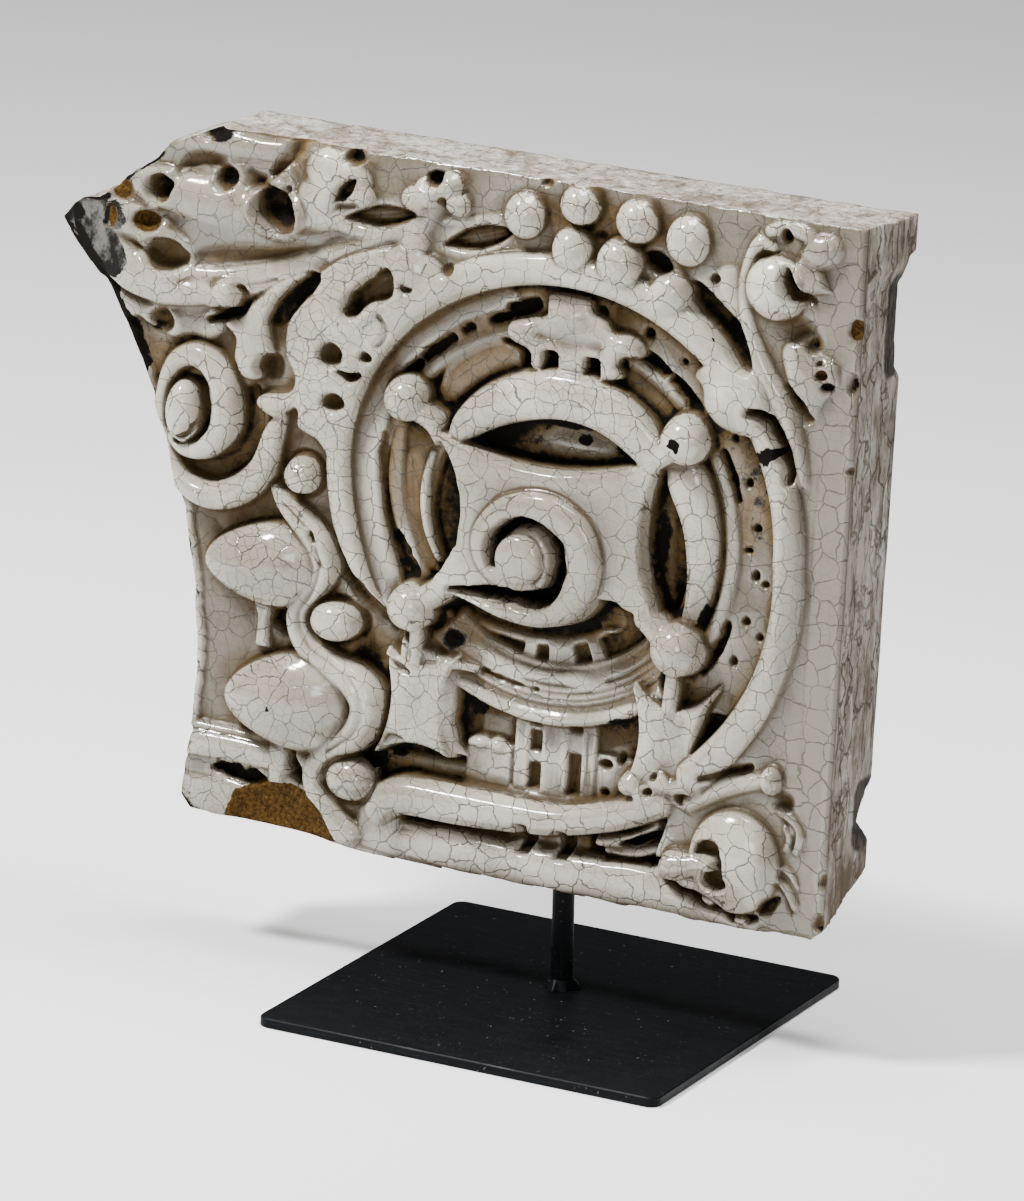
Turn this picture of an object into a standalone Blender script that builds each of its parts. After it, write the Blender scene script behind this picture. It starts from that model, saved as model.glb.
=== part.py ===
"""Broken corner of a glazed terracotta facade panel, held up on a steel rod and base plate.

Sizes are in millimetres and are scaled to metres as each mesh is made. On the panel, x runs
along the face from the right-hand edge (0) to the broken left end (negative), y runs from the
front ground plane (0) back through the thickness, and z runs up from the underside (0).
The object's own origin is the middle of the base plate's underside.
"""

import math

import bmesh
import bpy
from mathutils import Matrix, Vector

MM = 0.001
GAP = 0.3

# Stand
PLATE_WIDTH = 272.0
PLATE_DEPTH = 283.0
PLATE_THICKNESS = 6.35
PLATE_CORNER = 8.0
ROD_RADIUS = 7.0
ROD_SOCKET_DEPTH = 50.0
ROD_FOOT = (-4.0, 19.5)
ROD_TOP_OFFSET = -2.5
WELD_REACH = 4.5
WELD_HEIGHT = 6.0

# Panel
PANEL_HEIGHT = 450.0
PANEL_DEPTH = 61.0
PANEL_RISE = 71.0
PANEL_RIGHT = 181.6
PANEL_FRONT = -11.5
BOTTOM_LEFT = -438.0
LEFT_FIELD_DROP = 6.0
BACK_FLARE = 2.5
TOP_CORNER_FLARE = 8.0
FLARE_STEP = (405.0, 426.0)

# The great ring and what turns about its middle
HUB = (-195.0, 235.0)
RING_HALF_WIDTH = 11.0
RING_SINK = 2.0
DISH_FLOOR = 24.0
STAR_FRONT = -7.0
STAR_BACK = 14.0
SHIELD_FRONT = -3.0
BAR_FRONT = 12.0


# ---------------------------------------------------------------- scene helpers

def clear_scene():
    for thing in list(bpy.data.objects):
        bpy.data.objects.remove(thing, do_unlink=True)


def make_collection(name, hidden=False):
    group = bpy.data.collections.new(name)
    bpy.context.scene.collection.children.link(group)
    group.hide_render = hidden
    return group


def make_material(name, colour, roughness, metallic=0.0):
    material = bpy.data.materials.new(name)
    material.use_nodes = True
    shader = material.node_tree.nodes["Principled BSDF"]
    shader.inputs["Base Color"].default_value = (*colour, 1.0)
    shader.inputs["Roughness"].default_value = roughness
    shader.inputs["Metallic"].default_value = metallic
    return material


def panel_origin():
    return Vector((PANEL_RIGHT, PANEL_FRONT, PLATE_THICKNESS + PANEL_RISE)) * MM


def add_mesh(name, mesh, group, location=None, material=None):
    thing = bpy.data.objects.new(name, mesh)
    thing.location = panel_origin() if location is None else location
    if material:
        mesh.materials.append(material)
    group.objects.link(thing)
    return thing


def mark_guide(thing):
    thing.hide_render = True
    thing.display_type = "WIRE"
    return thing


# ---------------------------------------------------------------- paths and outlines

def spline_points(knots, per_span=4, closed=False):
    """Points of a Catmull-Rom curve through the knots, whatever values a knot carries."""
    count = len(knots)
    spans = count if closed else count - 1
    points = []
    for span in range(spans):
        if closed:
            a, b, c, d = (knots[(span + k - 1) % count] for k in range(4))
        else:
            a, b, c, d = (knots[min(max(span + k - 1, 0), count - 1)] for k in range(4))
        for step in range(per_span):
            t = step / per_span
            weights = (
                -0.5 * t + t * t - 0.5 * t**3,
                1.0 - 2.5 * t * t + 1.5 * t**3,
                0.5 * t + 2.0 * t * t - 1.5 * t**3,
                -0.5 * t * t + 0.5 * t**3,
            )
            points.append(tuple(sum(w * k[i] for w, k in zip(weights, (a, b, c, d)))
                                for i in range(len(a))))
    if not closed:
        points.append(tuple(knots[-1]))
    return points


def arc_between(start, end, sag, steps=7):
    """Shallow arc from start to end, bowed by sag to the left of the way it runs."""
    along = Vector(end) - Vector(start)
    side = Vector((-along.y, along.x)).normalized()
    points = []
    for step in range(steps):
        t = step / steps
        points.append(tuple(Vector(start) + along * t + side * (sag * 4.0 * t * (1.0 - t))))
    return points


def ring_arc(radius, start_deg, end_deg, steps, centre=HUB):
    """Points along a circle about the hub, with angles counted up from the right."""
    angles = [math.radians(start_deg + (end_deg - start_deg) * k / steps) for k in range(steps + 1)]
    return [(centre[0] + radius * math.cos(a), centre[1] + radius * math.sin(a)) for a in angles]


def great_ring_radius(degrees):
    """The ring is round at the top, draws in down its left arm and opens out down its right."""
    if degrees > 120.0:
        t = min((degrees - 120.0) / 95.0, 1.0)
        return 160.0 - 24.0 * t * t * (3.0 - 2.0 * t)
    if degrees < 0.0:
        return 158.5 - 0.2 * degrees
    return 158.5 + 1.5 * min(degrees / 45.0, 1.0)


def great_ring_points(inset, start_deg, end_deg, steps):
    points = []
    for k in range(steps + 1):
        degrees = start_deg + (end_deg - start_deg) * k / steps
        radius = great_ring_radius(degrees) - inset
        angle = math.radians(degrees)
        points.append((HUB[0] + radius * math.cos(angle), HUB[1] + radius * math.sin(angle)))
    return points


# ---------------------------------------------------------------- solids

def mesh_from_curve(curve, matrix):
    """Turn a curve into a closed mesh, welding its caps and applying the matrix."""
    holder = bpy.data.objects.new("path", curve)
    bpy.context.scene.collection.objects.link(holder)
    bpy.context.view_layer.update()
    depsgraph = bpy.context.evaluated_depsgraph_get()
    mesh = bpy.data.meshes.new_from_object(holder.evaluated_get(depsgraph))
    bpy.data.objects.remove(holder, do_unlink=True)
    work = bmesh.new()
    work.from_mesh(mesh)
    bmesh.ops.remove_doubles(work, verts=work.verts, dist=0.00001)
    bmesh.ops.transform(work, matrix=matrix, verts=work.verts)
    bmesh.ops.recalc_face_normals(work, faces=work.faces)
    work.to_mesh(mesh)
    work.free()
    return mesh


def band(name, group, knots, depth, flatten=1.0, per_span=4, sides=2):
    """Round moulding along knots of (x, z, half width); depth is the y of its middle."""
    curve = bpy.data.curves.new(name, "CURVE")
    curve.dimensions = "3D"
    curve.bevel_depth = MM
    curve.bevel_resolution = sides
    curve.use_fill_caps = True
    points = spline_points(knots, per_span)
    line = curve.splines.new("POLY")
    line.points.add(len(points) - 1)
    for point, (x, z, half) in zip(line.points, points):
        point.co = (x * MM, 0.0, z * MM, 1.0)
        point.radius = max(half, 0.8)
    matrix = Matrix.Translation((0, depth * MM, 0)) @ Matrix.Diagonal((1, flatten, 1, 1))
    return add_mesh(name, mesh_from_curve(curve, matrix), group)


def slab(name, group, outline, front, back, edge=0.0):
    """Flat piece with the outline (x, z), from y = front to y = back, edges eased by edge."""
    curve = bpy.data.curves.new(name, "CURVE")
    curve.dimensions = "2D"
    curve.fill_mode = "BOTH"
    curve.extrude = (back - front) * MM / 2.0 - edge * MM
    curve.bevel_depth = edge * MM
    curve.bevel_resolution = 0
    curve.offset = -edge * MM
    line = curve.splines.new("POLY")
    line.points.add(len(outline) - 1)
    for point, (x, z) in zip(line.points, outline):
        point.co = (x * MM, z * MM, 0.0, 1.0)
    line.use_cyclic_u = True
    middle = (front + back) / 2.0
    matrix = Matrix.Translation((0, middle * MM, 0)) @ Matrix.Rotation(math.pi / 2, 4, "X")
    return add_mesh(name, mesh_from_curve(curve, matrix), group)


def knob(name, group, x, z, radii, depth, tilt=0.0, rings=8):
    """Ball or egg with half sizes radii = (along, up, deep), turned by tilt degrees."""
    mesh = bpy.data.meshes.new(name)
    work = bmesh.new()
    bmesh.ops.create_uvsphere(work, u_segments=rings + 2, v_segments=rings - 2, radius=MM)
    matrix = (Matrix.Translation((x * MM, depth * MM, z * MM))
              @ Matrix.Rotation(math.radians(-tilt), 4, "Y")
              @ Matrix.Diagonal((radii[0], radii[2], radii[1], 1))
              @ Matrix.Rotation(math.pi / 2, 4, "X"))
    bmesh.ops.transform(work, matrix=matrix, verts=work.verts)
    work.to_mesh(mesh)
    work.free()
    return add_mesh(name, mesh, group)


def block(name, group, x_range, y_range, z_range, turn=(0.0, 0.0, 0.0)):
    """Rectangular block between the ranges, turned about its middle by degrees."""
    mesh = bpy.data.meshes.new(name)
    middle = [sum(r) / 2.0 * MM for r in (x_range, y_range, z_range)]
    size = [(r[1] - r[0]) * MM for r in (x_range, y_range, z_range)]
    work = bmesh.new()
    bmesh.ops.create_cube(work, size=1.0)
    spin = Matrix.Identity(4)
    for axis, degrees in zip("XYZ", turn):
        spin = Matrix.Rotation(math.radians(degrees), 4, axis) @ spin
    matrix = Matrix.Translation(middle) @ spin @ Matrix.Diagonal((*size, 1))
    bmesh.ops.transform(work, matrix=matrix, verts=work.verts)
    work.to_mesh(mesh)
    work.free()
    return add_mesh(name, mesh, group)


def lens_outline(x, z, length, width, tilt, steps=4):
    """Pointed oval, length along its tilt in degrees."""
    angle = math.radians(tilt)
    way = Vector((math.cos(angle), math.sin(angle))) * length / 2.0
    middle = Vector((x, z))
    start, end = middle - way, middle + way
    return arc_between(start, end, width / 2.0, steps) + arc_between(end, start, width / 2.0, steps)


def join_shapes(target, shapes, operation):
    """Boolean the whole collection of shapes into the target with the exact solver."""
    modifier = target.modifiers.new(operation.title(), "BOOLEAN")
    modifier.operation = operation
    modifier.operand_type = "COLLECTION"
    modifier.collection = shapes
    modifier.solver = "EXACT"
    modifier.use_self = operation == "UNION"
    return modifier


# ---------------------------------------------------------------- the panel's body

def panel_outline():
    """Square right-hand side, hollow curved left-hand side and the broken end at the top left."""
    foot, shoulder = (BOTTOM_LEFT, 64.0), (-512.0, 342.0)
    outline = [(0.0, 0.0), (0.0, FLARE_STEP[0]), (0.0, FLARE_STEP[1]), (0.0, PANEL_HEIGHT)]
    outline += [(-436.0, PANEL_HEIGHT)]
    outline += [(-456.0, 441.0), (-471.0, 436.0), (-483.0, 421.0), (-500.0, 410.0)]
    outline += [(-516.0, 394.0), (-531.0, 390.0), (-543.0, 383.0), (-554.0, 372.0)]
    outline += [(-538.0, 359.0), (-524.0, 350.0)]
    outline += arc_between(shoulder, foot, 24.0, 12)
    outline += [foot, (-434.0, 60.0), (-441.0, 40.0), (-443.0, 18.0), (-434.0, 8.0)]
    outline += [(-400.0, 5.0), (-345.0, 0.0)]
    return outline


def make_pockets(group):
    """Ground cut down inside the ring, below the bowl and across the left-hand field."""
    dish = great_ring_points(6.0, -50.0, 215.0, 40)
    slab("dish_pocket", group, dish, -5.0, DISH_FLOOR)
    lower = [(-312.0, 28.0), (-118.0, 27.0), (-108.0, 62.0), (-84.0, 110.0), (-90.0, 160.0),
             (-300.0, 160.0), (-309.0, 120.0), (-304.0, 76.0)]
    slab("lower_pocket", group, lower, -6.0, DISH_FLOOR - 0.5)
    field = [(-358.0, 67.0), (-330.0, 130.0), (-350.0, 200.0), (-360.0, 260.0), (-380.0, 330.0),
             (-520.0, 330.0), (-520.0, 67.0)]
    slab("left_field", group, field, -7.0, LEFT_FIELD_DROP)
    block("broken_hollow", group, (-432.0, -385.0), (-5.0, 12.0), (31.0, 43.0), (0.0, 4.0, 0.0))


def make_great_ring(group):
    """Round band that runs from the foot of the right arm over the top to the left tip."""
    knots = []
    steps = 36
    for k in range(steps + 1):
        degrees = -56.0 + 277.0 * k / steps
        angle = math.radians(degrees)
        radius = great_ring_radius(degrees)
        taper = min(1.0, 0.25 + (221.0 - degrees) / 50.0)
        knots.append((HUB[0] + radius * math.cos(angle), HUB[1] + radius * math.sin(angle),
                      RING_HALF_WIDTH * taper))
    band("great_ring", group, knots, RING_SINK, per_span=1, sides=2)


def make_dish_rings(group):
    """Lesser bands one inside the other, each lower than the last."""
    for label, radius, half, depth, arc in (
            ("second_ring", 130.0, 8.5, 10.0, (-28.0, 212.0)),
            ("third_ring", 111.0, 4.5, 13.0, (-26.0, 205.0)),
            ("bowl_lip", 119.0, 8.0, 12.0, (215.0, 323.0)),
            ("bowl_middle", 105.0, 7.0, 16.0, (214.0, 325.0)),
            ("bowl_inner", 92.0, 7.0, 20.0, (212.0, 327.0)),
            ("light_ring", 78.0, 3.0, 22.0, (208.0, 326.0)),
            ("hub_ring_right", 91.0, 10.0, 11.0, (-29.0, 31.0)),
            ("hub_ring_left", 90.0, 5.0, 11.0, (155.0, 207.0))):
        steps = max(6, round(abs(arc[1] - arc[0]) / 12.0))
        knots = [(x, z, half) for x, z in ring_arc(radius, arc[0], arc[1], steps)]
        band(label, group, knots, depth, per_span=1, sides=1)


def star_outline():
    """Four-pointed plate with hollow sides, its points under the four balls."""
    top_left, top_right = (-286.0, 287.0), (-121.0, 290.0)
    low_right, low_left = (-118.0, 184.0), (-280.0, 176.0)
    outline = arc_between(top_left, top_right, -16.0)
    outline += arc_between(top_right, low_right, -15.0)
    outline += arc_between(low_right, low_left, -14.0)
    outline += arc_between(low_left, top_left, -19.0)
    return outline


def make_star(group):
    slab("star_plate", group, star_outline(), STAR_FRONT, STAR_BACK, 1.5)
    for label, x, z, radius in (("top_left", -299.0, 298.0, 14.5), ("top_right", -110.0, 302.0, 15.5),
                                ("low_left", -289.0, 166.0, 15.0), ("low_right", -107.0, 172.0, 18.0)):
        knob("ball_" + label, group, x, z, (radius, radius, radius), 0.0)
        way = Vector((HUB[0] - x, HUB[1] - z)).normalized() * radius
        neck = [(x, z, radius * 0.72), (x + way.x * 1.7, z + way.y * 1.7, radius * 0.45)]
        band("neck_" + label, group, neck, STAR_FRONT + 6.0, per_span=1)


def make_crescent(group):
    """Thick crescent over the star, drawn out to a point at both ends."""
    knots = []
    for k in range(9):
        t = k / 8.0
        half = 1.0 + 15.5 * math.sin(math.pi * t) ** 0.8
        knots.append((-265.0 + 130.0 * t, 284.0 + 32.0 * math.sin(math.pi * t), half))
    band("crescent", group, knots, 2.0, 0.9, per_span=1)


def make_scroll(group):
    """Raised scroll in the middle of the star that ends in a round knob."""
    knots = [(-247.0, 183.0, 2.0), (-222.0, 179.0, 5.0), (-197.0, 180.0, 8.0),
             (-177.0, 190.0, 10.0), (-168.0, 212.0, 11.0), (-175.0, 234.0, 11.0),
             (-197.0, 245.0, 11.0), (-222.0, 240.0, 10.0), (-237.0, 222.0, 9.0),
             (-234.0, 205.0, 8.0), (-223.0, 197.0, 7.0)]
    band("scroll", group, knots, STAR_FRONT + 1.0, 0.8, per_span=2)
    knob("scroll_knob", group, -213.0, 211.0, (16.5, 16.5, 9.0), STAR_FRONT - 1.0)


def make_bracket(group):
    """Ragged leaf that bridges the rings above the crescent."""
    outline = [(-207.0, 379.0), (-178.0, 376.0), (-164.0, 368.0), (-149.0, 362.0),
               (-150.0, 349.0), (-165.0, 337.0), (-185.0, 331.0), (-214.0, 331.0),
               (-218.0, 342.0), (-234.0, 351.0), (-226.0, 360.0), (-209.0, 367.0)]
    slab("bracket_leaf", group, outline, -1.0, 17.0, 2.0)


def make_shields(group):
    """Two hollow-sided shields that hang from the lower balls, each on a short stem."""
    corners = ((-304.0, 138.0), (-253.0, 139.0), (-250.0, 72.0), (-309.0, 68.0))
    sags = (-6.0, -10.0, -8.0, -8.0)
    outline = []
    for k in range(4):
        outline += arc_between(corners[k], corners[(k + 1) % 4], sags[k], 5)
    slab("left_shield", group, outline, SHIELD_FRONT, DISH_FLOOR + 1.0)
    corners = ((-136.0, 144.0), (-79.0, 149.0), (-90.0, 66.0), (-139.0, 74.0))
    sags = (-12.0, -8.0, -3.0, -7.0)
    outline = []
    for k in range(4):
        outline += arc_between(corners[k], corners[(k + 1) % 4], sags[k], 5)
    slab("right_shield", group, outline, SHIELD_FRONT, DISH_FLOOR + 1.0)
    block("left_stem", group, (-288.0, -281.0), (0.0, 18.0), (128.0, 156.0))
    block("right_stem", group, (-113.0, -106.0), (0.0, 18.0), (130.0, 158.0))


def make_bars(group):
    """Upright bars with square gaps between, and the cross pieces that tie them."""
    for k, (x, width, low) in enumerate(((-213.5, 12.0, 20.0), (-192.5, 18.0, 20.0),
                                         (-167.0, 13.0, 20.0))):
        block(f"bar_{k + 1}", group, (x - width / 2, x + width / 2),
              (BAR_FRONT + k, DISH_FLOOR + 3.0), (low, 112.0))
    for k, (x, z, width, height) in enumerate(((-203.0, 96.0, 9.0, 8.0), (-203.0, 80.0, 9.0, 6.0),
                                               (-179.0, 92.0, 12.0, 16.0),
                                               (-234.0, 74.0, 32.0, 20.0),
                                               (-150.0, 84.0, 24.0, 36.0))):
        block(f"tie_{k + 1}", group, (x - width / 2, x + width / 2),
              (BAR_FRONT + 2.0 + 0.3 * k, DISH_FLOOR + 2.0), (z - height / 2, z + height / 2))
    knots = [(-312.0, 38.0, 7.0), (-295.0, 42.0, 9.0), (-250.0, 43.0, 9.0), (-200.0, 43.5, 8.5),
             (-165.0, 48.0, 8.5), (-138.0, 57.0, 8.5), (-112.0, 70.0, 8.0)]
    band("lower_moulding", group, knots, 4.0, per_span=1)
    knots = [(-338.0, 12.5, 12.0), (-200.0, 12.5, 12.0), (-95.0, 12.5, 12.0), (-60.0, 13.0, 11.5)]
    band("foot_moulding", group, knots, 6.0, 0.8, per_span=1)


def make_eggs(group):
    """Eggs and the wavy band with its small balls, down the left-hand field."""
    knob("upper_egg", group, -396.0, 177.0, (38.0, 28.5, 22.0), LEFT_FIELD_DROP - 1.0, -6.0, 10)
    knob("lower_egg", group, -374.0, 91.5, (41.0, 34.5, 24.0), LEFT_FIELD_DROP - 1.0, -6.0, 10)
    knots = [(-388.0, 230.0, 3.5), (-368.0, 211.0, 5.0), (-353.0, 194.0, 6.5),
             (-348.0, 178.0, 7.0), (-358.0, 163.0, 7.0), (-367.0, 148.0, 7.0),
             (-361.0, 131.0, 7.5), (-344.0, 119.0, 8.0), (-325.0, 112.0, 9.0),
             (-314.0, 98.0, 9.5), (-319.0, 80.0, 9.0), (-338.0, 65.0, 8.0),
             (-350.0, 51.0, 7.0), (-347.0, 35.0, 7.0), (-333.0, 21.0, 8.0), (-318.0, 12.0, 9.0)]
    band("wave", group, knots, 1.0, per_span=2, sides=1)
    for k, (x, z, wide, high) in enumerate(((-368.0, 238.0, 11.0, 11.5), (-342.0, 147.0, 16.0, 12.5),
                                            (-326.0, 48.0, 15.0, 13.5))):
        knob(f"wave_ball_{k + 1}", group, x, z, (wide, high, 13.0), 1.0, 0.0, 8)
    block("field_fillet", group, (-402.0, -384.0), (0.0, 12.0), (125.0, 158.0))
    block("upper_rail", group, (-434.0, -350.0), (-1.0, 14.0), (48.0, 62.0))
    block("lower_rail", group, (-438.0, -380.0), (-1.5, 14.0), (9.0, 31.0), (0.0, -1.5, 0.0))


def make_volute(group):
    """Big open volute at the left edge, wound twice round its eye."""
    knots = [(-397.0, 284.0, 4.0), (-386.0, 262.0, 7.0), (-393.0, 236.0, 9.0),
             (-412.0, 218.0, 9.5), (-436.0, 213.0, 8.0), (-457.0, 224.0, 6.0),
             (-468.0, 247.0, 5.5), (-468.0, 274.0, 6.0), (-457.0, 296.0, 8.0),
             (-439.0, 299.0, 9.5), (-427.0, 283.0, 10.0), (-427.0, 260.0, 10.0),
             (-438.0, 246.0, 8.0), (-453.0, 247.0, 6.5), (-461.0, 259.0, 5.5)]
    band("volute", group, knots, 1.0, 1.1, per_span=2, sides=1)
    knob("volute_eye", group, -453.0, 266.0, (11.0, 19.0, 12.0), 0.0, 0.0, 8)


def make_acanthus(group):
    """Sweeping acanthus at the broken corner: ribs that run together towards the ring."""
    ribs = (
        ((-506.0, 362.0, 12.0), (-486.0, 348.0, 15.0), (-456.0, 344.0, 14.0),
         (-425.0, 350.0, 11.0), (-390.0, 364.0, 8.0), (-350.0, 384.0, 7.0), (-306.0, 404.0, 6.0)),
        ((-500.0, 384.0, 13.0), (-470.0, 380.0, 14.0), (-435.0, 382.0, 11.0),
         (-395.0, 384.0, 9.0), (-350.0, 394.0, 6.0), (-310.0, 408.0, 5.0)),
        ((-484.0, 408.0, 12.0), (-455.0, 404.0, 17.0), (-425.0, 402.0, 15.0),
         (-392.0, 400.0, 13.0), (-355.0, 404.0, 8.0), (-330.0, 412.0, 5.0)),
        ((-468.0, 432.0, 6.0), (-440.0, 438.0, 9.0), (-410.0, 427.0, 10.0), (-385.0, 420.0, 9.0)),
        ((-502.0, 330.0, 9.0), (-478.0, 323.0, 10.0), (-452.0, 322.0, 9.0), (-428.0, 327.0, 5.0)),
    )
    for k, knots in enumerate(ribs):
        band(f"leaf_rib_{k + 1}", group, knots, 3.0 + 0.4 * k, 0.9, per_span=2, sides=1)
    knob("leaf_bud", group, -424.0, 346.0, (8.0, 8.0, 8.0), -5.0, 0.0, 8)
    knob("top_curl", group, -352.0, 431.0, (25.0, 16.0, 12.0), 1.0, 8.0)
    knob("second_curl", group, -284.0, 430.0, (17.0, 13.0, 12.0), 0.5, 0.0)
    stem = [(-287.0, 424.0, 7.0), (-296.0, 408.0, 9.0), (-300.0, 392.0, 11.0), (-318.0, 372.0, 14.0)]
    band("curl_stem", group, stem, 3.0, 0.8, per_span=1)


def make_ring_leaves(group):
    """Leaves that grip the shoulders of the great ring."""
    outline = [(-312.0, 392.0), (-336.0, 386.0), (-356.0, 374.0), (-372.0, 356.0), (-384.0, 334.0),
               (-384.0, 312.0), (-375.0, 297.0), (-401.0, 283.0), (-385.0, 275.0), (-368.0, 263.0),
               (-345.0, 260.0), (-338.0, 290.0), (-326.0, 318.0), (-306.0, 344.0), (-284.0, 362.0)]
    slab("left_shoulder_leaf", group, outline, -8.0, 10.0, 3.0)
    drop = [(-372.0, 364.0, 6.0), (-398.0, 346.0, 8.0), (-412.0, 326.0, 11.0), (-409.0, 305.0, 9.0)]
    band("hanging_leaf", group, drop, 3.0, per_span=2)
    knob("right_shoulder_leaf", group, -83.0, 335.0, (21.0, 17.0, 10.0), -4.0, -30.0)
    knob("right_leaf", group, -33.0, 362.0, (18.0, 15.0, 11.0), 1.0, -40.0)
    stem = [(-72.0, 424.0, 6.0), (-77.0, 404.0, 6.0), (-74.0, 382.0, 7.0), (-64.0, 358.0, 8.0),
            (-50.0, 338.0, 8.0), (-38.0, 314.0, 6.0)]
    band("right_stem", group, stem, 2.0, per_span=2)
    knob("right_curl", group, -55.0, 406.0, (21.0, 20.0, 17.0), 1.0)
    knob("right_curl_lobe", group, -29.0, 432.0, (14.0, 13.0, 10.0), 1.0, 20.0, 8)
    knob("right_curl_tip", group, -34.0, 411.0, (13.0, 7.0, 9.0), -1.0, 12.0, 8)


def make_beads(group):
    """Two rows of beads along the top and the lobe that ends the lower row."""
    for k, (x, z, radius) in enumerate(((-225.0, 425.5, 14.0), (-188.0, 435.5, 13.0),
                                        (-149.0, 434.0, 14.5), (-115.0, 427.0, 15.0),
                                        (-193.0, 410.0, 12.5), (-163.0, 405.0, 14.0),
                                        (-127.0, 390.0, 15.0))):
        knob(f"bead_{k + 1}", group, x, z, (radius, radius, radius), -0.5, 0.0, 8)


def make_bulb(group):
    """Round seed pod with its leaf at the lower right corner."""
    knob("pod", group, -58.0, 44.0, (32.0, 32.0, 19.0), 1.0, 0.0, 12)
    knob("pod_leaf", group, -98.0, 33.0, (18.0, 11.0, 12.0), 1.0, -6.0, 8)
    knob("shield_leaf", group, -108.0, 80.0, (25.0, 18.0, 13.0), 2.0, -12.0)
    knob("corner_bud", group, -38.0, 97.0, (9.0, 11.0, 8.0), 0.0, 0.0, 8)


def make_hollows(group):
    """Drilled eyes and pointed slots between the leaves."""
    for k, (x, z, radius, depth) in enumerate(((-473.0, 408.0, 8.5, 12.0), (-469.0, 365.0, 11.0, 8.0),
                                               (-430.0, 418.0, 6.0, 8.0), (-391.0, 401.0, 12.0, 9.0),
                                               (-481.0, 385.0, 8.5, 12.0), (-472.0, 324.0, 7.0, 10.0),
                                               (-350.0, 321.0, 8.5, 10.0), (-288.0, 437.0, 6.0, 8.0),
                                               (-67.0, 34.0, 7.0, 6.0), (-75.0, 50.0, 9.0, 6.0))):
        circle = ring_arc(radius, 0.0, 320.0, 8, (x, z))
        slab(f"eye_{k + 1}", group, circle, -25.0 - 0.1 * k, depth)
    for k, (x, z, length, width, tilt, depth) in enumerate((
            (-322.0, 409.0, 46.0, 10.0, 9.0, 12.0), (-256.0, 405.0, 50.0, 11.0, 16.0, 12.0),
            (-326.0, 364.0, 42.0, 18.0, 45.0, 14.0), (-92.0, 377.0, 62.0, 15.0, -42.0, 18.0),
            (-54.0, 319.0, 32.0, 8.0, -40.0, 10.0), (-36.0, 335.0, 26.0, 7.0, -55.0, 10.0),
            (-97.0, 76.0, 20.0, 8.0, -6.0, 10.0), (-118.0, 236.0, 70.0, 11.0, -84.0, 20.0))):
        slab(f"slot_{k + 1}", group, lens_outline(x, z, length, width, tilt),
             -26.0 - 0.1 * k, depth)


def flare_back(mesh):
    """The right-hand side spreads towards the back, more so at its unbroken top corner."""
    for corner in mesh.vertices:
        if corner.co.y > 0.5 * PANEL_DEPTH * MM and corner.co.x > -MM:
            at_top = corner.co.z > 0.5 * (FLARE_STEP[0] + FLARE_STEP[1]) * MM
            corner.co.x += (TOP_CORNER_FLARE if at_top else BACK_FLARE) * MM


def fracture(name, group, point, outward, size=160.0):
    """Flat break through the point (x, y, z): all that lies outward of it is gone."""
    mesh = bpy.data.meshes.new(name)
    work = bmesh.new()
    bmesh.ops.create_cube(work, size=size * MM)
    way = Vector(outward).normalized()
    middle = (Vector(point) + way * size / 2.0) * MM
    matrix = Matrix.Translation(middle) @ way.to_track_quat("Z", "Y").to_matrix().to_4x4()
    bmesh.ops.transform(work, matrix=matrix, verts=work.verts)
    work.to_mesh(mesh)
    work.free()
    return add_mesh(name, mesh, group)


def make_breaks(group):
    """Where the body has broken away: lower right corner, back edge, left tip and foot."""
    fracture("low_corner_break", group, (-7.0, 0.0, 0.0), (0.68, 0.26, -0.68))
    fracture("tip_face_break", group, (-513.0, -1.0, 372.0), (-0.45, -0.89, 0.10))
    fracture("tip_back_break", group, (-524.0, PANEL_DEPTH, 372.0), (-0.72, 0.66, -0.20))
    block("side_notch", group, (-9.0, 18.0), (30.0, 76.0), (56.0, 86.0), (-24.0, 0.0, -14.0))
    block("back_edge_chip", group, (-6.0, 14.0), (52.0, 80.0), (336.0, 372.0), (18.0, 0.0, -30.0))
    knob("foot_scar", group, -372.0, 7.0, (40.0, 33.0, 17.0), -8.0, 0.0, 10)


def make_panel(group, cutters, material):
    pockets = make_collection("pocket_cutters", hidden=True)
    relief = make_collection("relief_shapes", hidden=True)
    make_pockets(pockets)
    for make in (make_great_ring, make_dish_rings, make_star, make_crescent, make_scroll,
                 make_bracket, make_shields, make_bars, make_eggs, make_volute, make_acanthus,
                 make_ring_leaves, make_beads, make_bulb):
        make(relief)
    make_hollows(cutters)
    make_breaks(cutters)
    socket_radius = ROD_RADIUS + GAP
    socket = rod_solid("rod_socket", cutters, socket_radius, ROD_SOCKET_DEPTH + GAP, 12.0)
    mark_guide(socket)
    panel = slab("terracotta_panel", group, panel_outline(), 0.0, PANEL_DEPTH)
    flare_back(panel.data)
    panel.data.materials.append(material)
    join_shapes(panel, pockets, "DIFFERENCE")
    join_shapes(panel, relief, "UNION")
    join_shapes(panel, cutters, "DIFFERENCE")
    tidy = panel.modifiers.new("Dissolve flat splits", "DECIMATE")
    tidy.decimate_type = "DISSOLVE"
    tidy.angle_limit = math.radians(0.5)
    for shapes in (pockets, relief, cutters):
        for shape in shapes.objects:
            mark_guide(shape)
    return panel


# ---------------------------------------------------------------- the stand

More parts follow.
